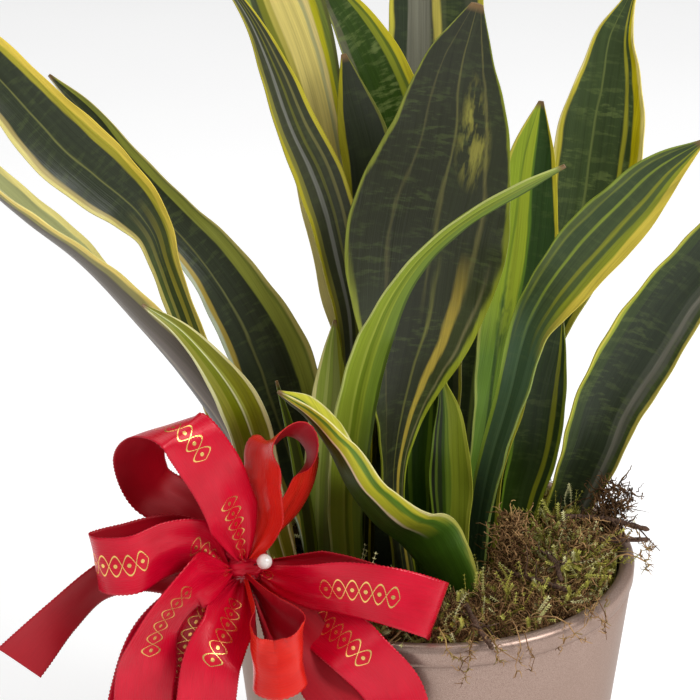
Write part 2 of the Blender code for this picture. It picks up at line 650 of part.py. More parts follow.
def build_moss():
    """Each clump is a mound over one sector of the ring between the leaves and the pot's wall."""
    look = material("moss", (0.20, 0.22, 0.06), 0.95)
    outer = LINER_RIM_RADIUS
    random = np.random.default_rng(MOSS_SEED)
    for name, (first, last, inner, height) in MOSS_CLUMPS.items():
        inner = inner * LEAF_SPREAD
        around = max(4, round((last - first) / MOSS_STEP))
        angles = np.radians(np.linspace(first, last, around + 1))
        shares = np.linspace(0.0, 1.0, len(MOSS_CROWN))
        points, faces = [], []
        for angle in angles:
            for share, rise in zip(shares, MOSS_CROWN, strict=True):
                radius = inner + (outer - inner) * share
                top = SOIL_TOP + GAP + height * rise * random.uniform(MOSS_DIP, 1.0)
                points.append((radius * math.cos(angle), radius * math.sin(angle), top))
            for radius in (outer, inner):
                points.append((radius * math.cos(angle), radius * math.sin(angle), SOIL_TOP + GAP))
        ring = len(shares) + 2
        faces.append(tuple(range(ring)))
        faces.append(tuple(range(around * ring, (around + 1) * ring)))
        for i in range(around):
            for k in range(ring):
                after = (k + 1) % ring
                faces.append((i * ring + k, i * ring + after, (i + 1) * ring + after, (i + 1) * ring + k))
        add_mesh(name, points, faces, look)


def tube(name, points, radius, look):
    """A round stick along a polyline, with closed ends."""
    curve = bpy.data.curves.new(name, "CURVE")
    curve.dimensions = "3D"
    curve.bevel_depth = radius
    curve.bevel_resolution = 2
    curve.use_fill_caps = True
    curve.materials.append(look)
    line = curve.splines.new("POLY")
    line.points.add(len(points) - 1)
    for point, place in zip(line.points, points, strict=True):
        point.co = (*place, 1.0)
    item = bpy.data.objects.new(name, curve)
    bpy.context.scene.collection.objects.link(item)
    return item


def build_twigs():
    look = material("bark", (0.08, 0.05, 0.035), 0.9)
    for name, stations in TWIGS.items():
        route = [(x * LEAF_SPREAD, y * LEAF_SPREAD, SOIL_TOP + rise) for x, y, rise in stations]
        tube(name, route, TWIG_RADIUS, look)


def knot_centre():
    angle = math.radians(KNOT_ANGLE)
    radius = POT_RIM_RADIUS + KNOT_STANDOFF
    return np.array((radius * math.cos(angle), radius * math.sin(angle), POT_HEIGHT + KNOT_RISE))


def on_knot(direction, off):
    """The point where a direction from the knot's centre leaves its surface, and this far beyond."""
    direction = unit(np.array(direction, float))
    reach = 1 / np.linalg.norm(direction / (np.array(KNOT_SIZE) / 2))
    return direction * (reach + off)


def ribbon(name, rows, both_ends, look):
    """A flat band along its rows, gathered to a narrow root where it leaves the knot."""
    table = np.array(rows, float)
    table[0, :3] = on_knot(table[0, :3], ROOT_GAP)
    if both_ends:
        table[-1, :3] = on_knot(table[-1, :3], ROOT_GAP)
    path = smooth_path(table, RIBBON_RINGS)
    centre = path[:, :3] + knot_centre()
    along = unit(np.gradient(path[:, :3], axis=0))
    across = path[:, 3:6]
    across = unit(across - (across * along).sum(axis=1, keepdims=True) * along)
    normal = np.cross(along, across)
    walked = np.linalg.norm(np.diff(path[:, :3], axis=0), axis=1)
    walked = np.concatenate([[0.0], np.cumsum(walked)])
    room = np.minimum(walked, walked[-1] - walked) if both_ends else walked
    share = np.clip(room / GATHER_LENGTH, 0.0, 1.0)
    width = ROOT_WIDTH + (RIBBON_WIDTH - ROOT_WIDTH) * share**GATHER_CURVE
    half, thin = across * width[:, None] / 2, normal * RIBBON_THICKNESS / 2
    rings = np.stack(
        [centre - half + thin, centre + thin, centre + half + thin,
         centre + half - thin, centre - thin, centre - half - thin],
        axis=1,
    )
    return swept(name, rings, look)


def build_bow():
    satin = material("red_satin", (0.62, 0.01, 0.03), 0.35)
    for name, rows in LOOPS.items():
        ribbon(name, rows, True, satin)
    for name, rows in TAILS.items():
        ribbon(name, rows, False, satin)
    bpy.ops.mesh.primitive_uv_sphere_add(
        segments=KNOT_SIDES, ring_count=KNOT_SIDES // 2, radius=0.5, location=knot_centre()
    )
    knot = bpy.context.object
    knot.name = knot.data.name = "knot"
    knot.scale = KNOT_SIZE
    knot.data.shade_smooth()
    knot.data.materials.append(satin)


def build_pin_and_pick():
    """The pearl on its short pin, and the wooden pick that holds the bow in the moss."""
    pearl = material("pearl", (0.85, 0.82, 0.78), 0.2)
    centre = knot_centre()
    profile = [(0.0, -PEARL_RADIUS)]
    profile += arc(0.0, 0.0, PEARL_RADIUS, -78, 60, 8)
    shaft_start = math.sqrt(PEARL_RADIUS**2 - PIN_RADIUS**2)
    profile.append((PIN_RADIUS, shaft_start))
    profile.append((PIN_RADIUS, PEARL_RADIUS + PIN_LENGTH))
    profile.append((0.0, PEARL_RADIUS + PIN_LENGTH))
    pin = turned("pearl_pin", profile, PEARL_SIDES, pearl)
    towards = unit(np.array(PEARL_DIRECTION))
    place = centre + on_knot(PEARL_DIRECTION, GAP + PIN_LENGTH + PEARL_RADIUS)
    pin.rotation_mode = "QUATERNION"
    pin.rotation_quaternion = Vector(-towards).to_track_quat("Z", "Y")
    pin.location = place
    angle = math.radians(KNOT_ANGLE)
    inward = np.array((math.cos(angle), math.sin(angle), 0.0))
    top = centre + on_knot((-inward[0], -inward[1], PICK_SLANT), 2 * PICK_RADIUS)
    foot = inward * (SOIL_RADIUS - PICK_INSET)
    foot[2] = SOIL_TOP + 2 * GAP + PICK_RADIUS
    tube("bow_pick", [tuple(top), tuple(foot)], PICK_RADIUS, material("wood", (0.35, 0.24, 0.13), 0.7))


clear_scene()
build_pot()
build_liner_and_soil()
build_moss()
build_leaves()
build_twigs()
build_bow()
build_pin_and_pick()
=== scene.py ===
"""Looks for a potted snake plant with moss and a satin bow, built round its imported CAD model.

Metres, +Z up. The origin is the centre of the pot's underside and -Y is the front.
"""

import math

import bpy
import numpy as np
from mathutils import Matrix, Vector


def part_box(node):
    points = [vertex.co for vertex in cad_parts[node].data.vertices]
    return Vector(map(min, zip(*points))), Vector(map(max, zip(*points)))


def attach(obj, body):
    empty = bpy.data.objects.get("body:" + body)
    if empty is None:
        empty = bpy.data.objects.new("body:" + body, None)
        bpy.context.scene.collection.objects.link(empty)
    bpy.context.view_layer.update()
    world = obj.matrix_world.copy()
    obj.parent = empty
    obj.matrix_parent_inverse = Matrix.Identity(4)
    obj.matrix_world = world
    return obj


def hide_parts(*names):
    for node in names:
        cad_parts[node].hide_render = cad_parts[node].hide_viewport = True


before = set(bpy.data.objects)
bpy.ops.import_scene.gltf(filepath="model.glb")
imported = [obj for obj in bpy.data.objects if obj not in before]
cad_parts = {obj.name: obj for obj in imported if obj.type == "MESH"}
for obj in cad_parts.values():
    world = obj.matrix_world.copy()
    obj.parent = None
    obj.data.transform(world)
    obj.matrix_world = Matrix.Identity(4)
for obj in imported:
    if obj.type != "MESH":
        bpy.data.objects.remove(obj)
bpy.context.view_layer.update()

BODY = "root"

# The sizes of the CAD model, and finer ones that only the visible pieces have.
GAP = 0.0003
POT_HEIGHT = 0.175
POT_RIM_RADIUS = 0.095
POT_BASE_RADIUS = 0.076
POT_WALL = 0.006
POT_FLOOR = 0.008
POT_LIP_HEIGHT = 0.009
POT_LIP_STEP = 0.0012
POT_FOOT_ROUND = 0.003
SOIL_TOP = 0.150
SOIL_RADIUS = 0.083
MOSS_OUTER_RADIUS = 0.0848
MOSS_REACH = 0.099  # as far as the moss spreads above the rim
LEAF_THICKNESS = 0.0024
LEAF_MARGIN = 0.0007
LEAF_TIP_WIDTH = 0.0008
LEAF_RIPPLE = 0.0006
TWIG_RADIUS = 0.0012
RIBBON_WIDTH = 0.025
RIBBON_SKIN = 0.0004
PICOT_HEIGHT = 0.00045
PICOT_PITCH = 0.0016
PLEAT_DEPTH = 0.0010
ROOT_WIDTH = 0.0035
ROOT_GAP = 0.0012
GATHER_LENGTH = 0.024
KNOT_SIZE = np.array((0.017, 0.010, 0.010))
KNOT_CENTRE = np.array((-0.0830, -0.0660, 0.1990))
HEART_RADIUS = 0.0125
HEART_DEPTH = 0.006
PEARL_RADIUS = 0.0034
PEARL_DIRECTION = np.array((0.90, -0.75, 0.70))
PIN_RADIUS = 0.0004
PIN_LENGTH = 0.0035
PICK_RADIUS = 0.001
FACE = np.array((0.0, -0.92, 0.39))  # a blade with no turn faces this way

# How finely the visible pieces are drawn, and how many small things there are.
LEAF_RINGS = 120
LEAF_ACROSS = 25
RIBBON_STEP = 0.0004
RIBBON_ACROSS = 27
POT_SIDES = 192
CRUMBS = 1500
FIBRES_PER_AREA = 1.1e6  # strands on a square metre of moss
FRONDS_PER_AREA = 0.75e6

# Each leaf: its cup in degrees at the foot and at the tip, then its stations from foot to tip, as
# (x, y, height above the soil, width, turn in degrees).
LEAVES = {
    "leaf_broad_front": (70, 25, [
        (-0.012, 0.008, 0.0, 0.016, 50), (-0.018, 0.010, 0.060, 0.018, 50),
        (-0.015, 0.009, 0.091, 0.032, 38), (-0.008, 0.006, 0.132, 0.056, 15),
        (-0.003, 0.0, 0.180, 0.073, 0), (0.005, -0.008, 0.224, 0.056, 0), (0.010, -0.015, 0.264, 0.030, 0),
        (0.016, -0.018, 0.289, 0.005, 0),
    ]),
    "leaf_lime_half": (80, 30, [
        (0.024, 0.031, 0.0, 0.016, 0), (0.028, 0.034, 0.054, 0.018, 0), (0.033, 0.036, 0.084, 0.025, 0),
        (0.038, 0.038, 0.119, 0.032, 0), (0.042, 0.040, 0.153, 0.033, 0), (0.044, 0.042, 0.181, 0.027, 0),
        (0.046, 0.044, 0.205, 0.019, 0), (0.049, 0.045, 0.227, 0.002, 0),
    ]),
    "leaf_tall_right": (90, 50, [
        (0.036, 0.044, 0.0, 0.016, -10), (0.044, 0.049, 0.068, 0.018, -10),
        (0.050, 0.053, 0.102, 0.022, -10), (0.060, 0.057, 0.126, 0.027, -10),
        (0.071, 0.061, 0.150, 0.035, -10), (0.078, 0.068, 0.189, 0.043, -10),
        (0.080, 0.071, 0.208, 0.041, -10), (0.083, 0.075, 0.231, 0.029, -10),
        (0.085, 0.077, 0.249, 0.018, -10), (0.090, 0.079, 0.263, 0.007, -10),
        (0.095, 0.080, 0.275, 0.001, -10),
    ]),
    "leaf_arching_right": (110, 30, [
        (0.022, 0.020, 0.0, 0.014, -30), (0.026, 0.018, 0.040, 0.015, -40),
        (0.031, 0.014, 0.068, 0.016, -40), (0.037, 0.010, 0.095, 0.017, -35),
        (0.045, 0.004, 0.134, 0.020, -20), (0.058, -0.006, 0.162, 0.027, 0),
        (0.079, -0.016, 0.194, 0.029, 10), (0.095, -0.026, 0.217, 0.019, 10),
        (0.111, -0.035, 0.234, 0.002, 10),
    ]),
    "leaf_low_right": (100, 60, [
        (0.060, 0.037, 0.0, 0.018, 10), (0.068, 0.036, 0.034, 0.025, 10), (0.076, 0.032, 0.060, 0.031, 10),
        (0.083, 0.028, 0.087, 0.036, 10), (0.095, 0.024, 0.114, 0.038, 10),
        (0.110, 0.020, 0.143, 0.034, 10), (0.122, 0.018, 0.160, 0.030, 10),
        (0.139, 0.014, 0.189, 0.021, 10), (0.156, 0.010, 0.220, 0.002, 10),
    ]),
    "leaf_dark_right": (90, 40, [
        (0.040, 0.036, 0.0, 0.014, 0), (0.045, 0.037, 0.036, 0.021, 0), (0.050, 0.038, 0.057, 0.024, 0),
        (0.053, 0.039, 0.083, 0.023, 0), (0.058, 0.040, 0.108, 0.012, 0), (0.061, 0.040, 0.124, 0.002, 0),
    ]),
    "leaf_short_centre": (90, 40, [
        (0.011, 0.009, 0.0, 0.014, 0), (0.010, 0.012, 0.034, 0.018, 0), (0.010, 0.014, 0.049, 0.021, 0),
        (0.009, 0.015, 0.068, 0.018, 0), (0.008, 0.017, 0.087, 0.011, 0), (0.005, 0.018, 0.103, 0.001, 0),
    ]),
    "leaf_inner_centre": (90, 40, [
        (-0.002, 0.021, 0.0, 0.014, 0), (-0.004, 0.022, 0.054, 0.020, 0), (-0.003, 0.023, 0.089, 0.022, 0),
        (-0.003, 0.024, 0.124, 0.018, 0), (-0.005, 0.025, 0.157, 0.002, 0),
    ]),
    "leaf_thin_arching": (80, 30, [
        (-0.037, -0.004, 0.0, 0.014, 0), (-0.039, -0.006, 0.052, 0.017, 0),
        (-0.037, -0.014, 0.086, 0.019, 10), (-0.033, -0.024, 0.118, 0.019, 20),
        (-0.026, -0.034, 0.146, 0.017, 30), (-0.017, -0.042, 0.170, 0.014, 45),
        (-0.006, -0.048, 0.188, 0.012, 60), (0.011, -0.054, 0.206, 0.010, 60),
        (0.033, -0.060, 0.222, 0.008, 60), (0.051, -0.064, 0.233, 0.002, 60),
    ]),
    "leaf_folded_front": (150, 90, [
        (0.006, -0.020, 0.0, 0.036, 80), (0.001, -0.024, 0.020, 0.054, 96),
        (-0.010, -0.030, 0.041, 0.062, 104), (-0.025, -0.042, 0.061, 0.062, 102),
        (-0.036, -0.049, 0.080, 0.052, 98), (-0.046, -0.050, 0.102, 0.040, 92),
        (-0.057, -0.051, 0.118, 0.022, 86), (-0.068, -0.052, 0.127, 0.002, 84),
    ]),
    "leaf_small_left": (80, 30, [
        (-0.060, -0.022, 0.0, 0.012, 0), (-0.072, -0.024, 0.050, 0.014, 0),
        (-0.077, -0.027, 0.075, 0.018, 0), (-0.081, -0.031, 0.097, 0.019, 0),
        (-0.086, -0.035, 0.113, 0.019, 10), (-0.098, -0.039, 0.135, 0.013, 20),
        (-0.111, -0.042, 0.152, 0.007, 20), (-0.126, -0.044, 0.164, 0.001, 20),
    ]),
    "leaf_tiny_left": (60, 30, [
        (-0.052, -0.012, 0.0, 0.006, 0), (-0.058, -0.012, 0.054, 0.006, 0),
        (-0.062, -0.012, 0.080, 0.005, 0), (-0.070, -0.014, 0.115, 0.001, 0),
    ]),
    "leaf_grey_centre": (80, 30, [
        (-0.050, 0.003, 0.0, 0.014, 0), (-0.050, 0.004, 0.047, 0.017, 0), (-0.048, 0.004, 0.078, 0.019, 0),
        (-0.046, 0.004, 0.103, 0.016, 0), (-0.045, 0.004, 0.123, 0.008, 0),
        (-0.044, 0.004, 0.137, 0.001, 0),
    ]),
    "leaf_long_left": (120, 80, [
        (-0.066, 0.0, 0.0, 0.016, 130), (-0.080, -0.006, 0.060, 0.026, 125),
        (-0.093, -0.011, 0.091, 0.032, 120), (-0.110, -0.017, 0.121, 0.036, 112),
        (-0.130, -0.024, 0.150, 0.037, 102), (-0.154, -0.030, 0.181, 0.034, 88),
        (-0.174, -0.035, 0.201, 0.030, 78), (-0.195, -0.040, 0.225, 0.020, 70),
        (-0.212, -0.044, 0.250, 0.002, 65),
    ]),
    "leaf_tall_striped": (70, 50, [
        (-0.034, 0.012, 0.0, 0.012, 0), (-0.033, 0.012, 0.059, 0.012, 0), (-0.034, 0.010, 0.105, 0.014, 0),
        (-0.036, 0.009, 0.140, 0.017, 0), (-0.041, 0.008, 0.167, 0.020, 0),
        (-0.046, 0.008, 0.189, 0.022, 0), (-0.051, 0.008, 0.205, 0.022, 0),
        (-0.060, 0.009, 0.225, 0.019, 0), (-0.069, 0.010, 0.250, 0.014, 0),
        (-0.079, 0.010, 0.273, 0.007, 0), (-0.095, 0.010, 0.298, 0.001, 0),
    ]),
    "leaf_curled_margin": (60, 30, [
        (-0.032, 0.019, 0.0, 0.012, 0), (-0.032, 0.018, 0.082, 0.013, 0), (-0.035, 0.018, 0.117, 0.014, 0),
        (-0.043, 0.018, 0.142, 0.014, 0), (-0.049, 0.018, 0.166, 0.011, 0),
        (-0.055, 0.018, 0.185, 0.008, 0), (-0.062, 0.018, 0.206, 0.001, 0),
    ]),
    "leaf_pale_yellow": (80, 40, [
        (-0.032, 0.031, 0.0, 0.012, 0), (-0.034, 0.030, 0.108, 0.013, 0), (-0.037, 0.030, 0.147, 0.015, 0),
        (-0.042, 0.031, 0.181, 0.018, 0), (-0.047, 0.032, 0.209, 0.022, 0),
        (-0.052, 0.034, 0.232, 0.025, 0), (-0.057, 0.035, 0.250, 0.029, 0),
        (-0.067, 0.037, 0.277, 0.033, 0), (-0.076, 0.038, 0.299, 0.018, 0),
        (-0.080, 0.039, 0.312, 0.001, 0),
    ]),
    "leaf_mottled_top": (80, 30, [
        (-0.016, 0.039, 0.0, 0.014, 0), (-0.018, 0.038, 0.073, 0.016, 0), (-0.016, 0.039, 0.119, 0.020, 0),
        (-0.013, 0.040, 0.153, 0.025, 0), (-0.014, 0.041, 0.192, 0.031, 0),
        (-0.018, 0.042, 0.222, 0.031, 0), (-0.027, 0.043, 0.247, 0.026, 0),
        (-0.036, 0.044, 0.264, 0.019, 0), (-0.043, 0.044, 0.275, 0.013, 0),
        (-0.051, 0.044, 0.293, 0.001, 0),
    ]),
    "leaf_dark_top": (70, 30, [
        (-0.022, 0.025, 0.0, 0.012, 0), (-0.025, 0.024, 0.122, 0.016, 0), (-0.026, 0.024, 0.157, 0.021, 0),
        (-0.027, 0.024, 0.186, 0.024, 0), (-0.029, 0.024, 0.206, 0.024, 0),
        (-0.033, 0.024, 0.225, 0.020, 0), (-0.037, 0.024, 0.241, 0.011, 0),
        (-0.040, 0.024, 0.255, 0.002, 0),
    ]),
    "leaf_tall_centre": (90, 40, [
        (0.006, 0.047, 0.0, 0.016, 0), (0.005, 0.051, 0.103, 0.023, 0), (0.004, 0.054, 0.152, 0.032, 0),
        (0.002, 0.057, 0.200, 0.041, 0), (0.002, 0.060, 0.242, 0.045, 0), (0.002, 0.061, 0.279, 0.041, 0),
        (0.003, 0.062, 0.311, 0.027, 0), (0.003, 0.062, 0.337, 0.001, 0),
    ]),
    "leaf_twisted_left": (120, 30, [
        (-0.068, 0.011, 0.0, 0.014, 0), (-0.088, 0.009, 0.067, 0.015, 0), (-0.099, 0.008, 0.098, 0.014, 0),
        (-0.109, 0.007, 0.128, 0.013, 0), (-0.115, 0.005, 0.148, 0.013, 0),
        (-0.120, 0.001, 0.167, 0.014, 0), (-0.124, 0.0, 0.181, 0.018, 0), (-0.132, -0.002, 0.194, 0.025, 0),
        (-0.144, -0.004, 0.206, 0.031, 0), (-0.159, -0.006, 0.221, 0.034, 0),
        (-0.179, -0.008, 0.245, 0.028, 0), (-0.203, -0.009, 0.273, 0.021, 0),
        (-0.224, -0.010, 0.298, 0.001, 0),
    ]),
    "leaf_wide_left": (90, 40, [
        (-0.050, 0.021, 0.0, 0.016, 0), (-0.053, 0.021, 0.029, 0.020, 0), (-0.059, 0.021, 0.055, 0.029, 0),
        (-0.065, 0.022, 0.080, 0.037, 0), (-0.072, 0.023, 0.106, 0.039, 0),
        (-0.083, 0.024, 0.131, 0.035, 0), (-0.098, 0.025, 0.155, 0.028, 0),
        (-0.115, 0.026, 0.175, 0.023, 0), (-0.138, 0.026, 0.204, 0.016, 0),
        (-0.155, 0.026, 0.229, 0.009, 0), (-0.170, 0.026, 0.245, 0.001, 0),
    ]),
    "leaf_back_centre": (90, 40, [
        (0.014, 0.062, 0.0, 0.016, 180), (0.016, 0.070, 0.060, 0.026, 180),
        (0.020, 0.080, 0.120, 0.036, 180), (0.024, 0.092, 0.170, 0.026, 180),
        (0.028, 0.104, 0.205, 0.002, 180),
    ]),
    "leaf_back_left": (90, 40, [
        (-0.040, 0.048, 0.0, 0.014, 190), (-0.050, 0.056, 0.036, 0.022, 190),
        (-0.062, 0.068, 0.066, 0.024, 190), (-0.073, 0.082, 0.088, 0.012, 190),
        (-0.080, 0.092, 0.098, 0.002, 190),
    ]),
    "leaf_back_right": (90, 40, [
        (0.046, 0.054, 0.0, 0.014, 160), (0.049, 0.062, 0.034, 0.020, 160),
        (0.052, 0.074, 0.060, 0.020, 160), (0.054, 0.088, 0.080, 0.010, 160),
        (0.055, 0.097, 0.091, 0.002, 160),
    ]),
}


# Round the pot's edge: where each moss clump starts and ends in degrees from +X, its inner radius
# and its height.
MOSS_CLUMPS = {
    "moss_right": (-26, 22, 0.052, 0.030),
    "moss_front_right": (-62, -29, 0.034, 0.027),
    "moss_front": (-98, -65, 0.045, 0.025),
    "moss_front_left": (221, 259, 0.046, 0.025),
    "moss_left": (178, 215, 0.076, 0.022),
    "moss_back_left": (118, 172, 0.080, 0.021),
    "moss_back": (61, 115, 0.075, 0.022),
    "moss_back_right": (31, 58, 0.081, 0.023),
}

MOSS_CROWN = (0.62, 0.92, 1.0, 0.92, 0.66)  # a clump's height from its inner edge to its outer, as shares

# Twigs that lie on the moss, as (x, y, height above the soil).
TWIGS = {
    "twig_long": [(0.030, -0.030, 0.029), (0.044, -0.040, 0.030), (0.060, -0.050, 0.029)],
    "twig_crossing": [(0.052, -0.020, 0.033), (0.056, -0.034, 0.033), (0.057, -0.048, 0.033)],
    "twig_rim_upper": [(0.062, 0.008, 0.037), (0.080, 0.004, 0.038), (0.101, -0.006, 0.037)],
    "twig_rim_lower": [(0.066, -0.006, 0.034), (0.082, -0.008, 0.033), (0.102, -0.002, 0.030)],
    "twig_rim_front": [(0.014, -0.062, 0.029), (0.017, -0.080, 0.030), (0.024, -0.101, 0.028)],
}

# The bow's loops and tails. Each row is a point of a ribbon's middle line, measured from the knot's
# centre, and the direction across the ribbon there. A first row, and a loop's last, is only the
# direction in which the ribbon leaves the knot.
LOOPS = {
    "loop_upper_left": [
        (-0.10, -0.45, 0.90, 0.87, 0.19, 0.46), (-0.005, -0.010, 0.033, 0.79, 0.59, 0.18),
        (-0.014, -0.018, 0.059, 0.83, 0.44, 0.34), (-0.025, -0.018, 0.074, 0.77, 0.62, 0.14),
        (-0.038, -0.006, 0.069, 0.68, 0.72, -0.15), (-0.045, 0.004, 0.054, 0.71, 0.63, -0.32),
        (-0.041, 0.010, 0.034, 0.70, 0.72, 0.00), (-0.025, 0.012, 0.022, 0.60, 0.76, 0.25),
        (-0.15, 0.45, 0.88, 0.40, 0.85, 0.10),
    ],
    "loop_left": [
        (-1.00, -0.38, 0.22, 0.10, -0.30, -0.95), (-0.019, -0.012, 0.016, 0.07, 0.30, -0.95),
        (-0.033, -0.026, 0.022, 0.03, -0.08, -1.00), (-0.047, -0.036, 0.020, 0.05, -0.20, -0.98),
        (-0.060, -0.032, 0.018, 0.15, -0.18, -0.97), (-0.063, -0.024, 0.016, 0.10, -0.12, -0.99),
        (-0.051, -0.018, 0.017, 0.03, -0.12, -0.99), (-0.034, -0.010, 0.018, 0.03, 0.00, -1.00),
        (-1.00, 0.30, -0.08, 0.05, 0.30, -0.95),
    ],
    "loop_upper_right": [
        (0.25, -0.30, 0.95, 0.90, -0.35, 0.10), (0.009, -0.001, 0.024, 0.60, -0.76, 0.22),
        (0.008, -0.003, 0.046, 0.62, -0.70, 0.34), (0.011, -0.003, 0.062, 0.50, -0.68, 0.54),
        (0.020, 0.002, 0.064, 0.24, -0.68, 0.70), (0.027, 0.006, 0.053, -0.10, -0.76, 0.64),
        (0.025, 0.007, 0.038, -0.36, -0.86, 0.36), (0.017, 0.005, 0.022, -0.50, -0.85, 0.10),
        (0.60, 0.20, 0.75, -0.40, -0.90, 0.00),
    ],
    "loop_right": [
        (1.00, -0.50, -0.10, 0.14, -0.39, -0.91), (0.025, -0.016, -0.001, 0.03, 0.30, -0.95),
        (0.046, -0.024, 0.002, 0.05, -0.02, -1.00), (0.066, -0.028, 0.0, 0.03, -0.28, -0.96),
        (0.083, -0.024, -0.008, -0.27, -0.37, -0.89), (0.083, -0.014, -0.014, -0.31, -0.09, -0.95),
        (0.067, -0.006, -0.012, 0.00, -0.06, -1.00), (0.041, 0.002, -0.006, 0.00, 0.10, -0.99),
        (1.00, 0.45, 0.00, 0.04, 0.30, -0.95),
    ],
    "loop_lower_right": [
        (0.75, -0.45, -0.70, 0.71, 0.28, 0.65), (0.029, -0.025, -0.029, 0.74, 0.40, 0.44),
        (0.042, -0.036, -0.046, 0.76, 0.38, 0.43), (0.056, -0.043, -0.062, 0.80, 0.33, 0.25),
        (0.068, -0.042, -0.061, 0.80, 0.25, -0.10), (0.066, -0.036, -0.045, 0.82, 0.12, 0.30),
        (0.050, -0.034, -0.024, 0.74, 0.10, 0.60), (0.029, -0.010, -0.017, 0.55, 0.55, 0.55),
        (0.88, 0.10, -0.55, 0.40, 0.85, 0.20),
    ],
    "loop_front": [
        (0.18, -0.92, -0.40, 0.14, 0.39, -0.91), (0.005, -0.027, -0.017, 0.03, 0.06, -1.00),
        (0.004, -0.038, -0.020, 0.03, -0.10, -0.99), (0.007, -0.047, -0.022, 0.03, -0.30, -0.95),
        (0.015, -0.051, -0.022, 0.02, -0.36, -0.93), (0.023, -0.047, -0.020, 0.03, -0.30, -0.95),
        (0.025, -0.037, -0.016, 0.03, -0.11, -0.99), (0.014, -0.026, -0.010, 0.03, 0.13, -0.99),
        (0.12, -0.98, -0.10, 0.03, 0.40, -0.90),
    ],
}

TAILS = {
    "tail_far_left": [
        (-0.90, 0.45, -0.35, 0.27, -0.37, -0.89), (-0.024, 0.003, -0.004, 0.07, 0.10, -0.99),
        (-0.046, -0.002, 0.002, 0.14, 0.10, -0.99), (-0.063, -0.010, -0.002, 0.24, 0.48, -0.84),
        (-0.080, -0.018, -0.015, 0.45, 0.50, -0.74), (-0.098, -0.024, -0.034, 0.66, 0.25, -0.71),
    ],
    "tail_outer": [
        (-0.80, 0.20, -0.75, 0.45, -0.35, -0.82), (-0.024, -0.008, -0.012, 0.69, 0.45, -0.57),
        (-0.038, -0.015, -0.027, 0.83, 0.12, -0.54), (-0.047, -0.018, -0.050, 0.87, 0.26, -0.41),
        (-0.051, -0.018, -0.078, 0.92, 0.25, -0.30), (-0.053, -0.018, -0.106, 0.95, 0.25, -0.15),
    ],
    "tail_twisted": [
        (-0.85, -0.60, 0.10, 0.39, -0.36, -0.85), (-0.021, -0.028, 0.006, 0.44, 0.48, -0.76),
        (-0.036, -0.036, -0.011, 0.40, 0.50, -0.70), (-0.042, -0.038, -0.034, 0.75, 0.05, -0.40),
        (-0.044, -0.037, -0.064, 0.90, 0.05, -0.20), (-0.046, -0.036, -0.094, 0.95, 0.10, -0.10),
    ],
    "tail_middle": [
        (-0.60, -0.30, -0.80, 0.83, -0.22, -0.51), (-0.018, -0.020, -0.011, 0.76, 0.34, -0.56),
        (-0.027, -0.026, -0.029, 0.86, 0.21, -0.46), (-0.034, -0.031, -0.053, 0.90, 0.23, -0.36),
        (-0.038, -0.033, -0.080, 0.95, 0.21, -0.24), (-0.040, -0.033, -0.102, 0.95, 0.21, -0.20),
    ],
    "tail_inner": [
        (-0.32, -0.50, -0.88, 0.96, -0.11, -0.25), (-0.008, -0.030, -0.016, 0.76, 0.40, -0.46),
        (-0.013, -0.040, -0.024, 0.92, 0.14, -0.36), (-0.016, -0.044, -0.042, 0.93, 0.16, -0.33),
        (-0.020, -0.043, -0.066, 0.96, 0.15, -0.25), (-0.022, -0.042, -0.090, 0.96, 0.15, -0.20),
    ],
}

# The loops whose plain side is a warmer orange-red: painted warm light, which they catch on that side.
PAINTED_WARM_LIGHT_LOOPS = ("loop_front", "loop_upper_right")

# Where moss hangs over the rim: from and to in degrees, how many strands, how far they drop.
OVERHANGS = {
    "moss_right": (-26, 10, 4, 0.005),
    "moss_front_right": (-62, -36, 5, 0.012),
    "moss_front": (-98, -65, 8, 0.017),
}

# Bunches that stand up out of a clump: (where, spread, height, how many strands, darkest, palest shade).
TUFTS = {
    "moss_front_right": [((0.036, -0.026, 0.176), 0.0042, 0.028, 620, 0.12, 0.48)],
    "moss_right": [
        ((0.084, 0.012, 0.178), 0.0045, 0.024, 380, 0.00, 0.28),
        ((0.070, -0.010, 0.180), 0.0080, 0.012, 260, 0.10, 0.48),
    ],
}

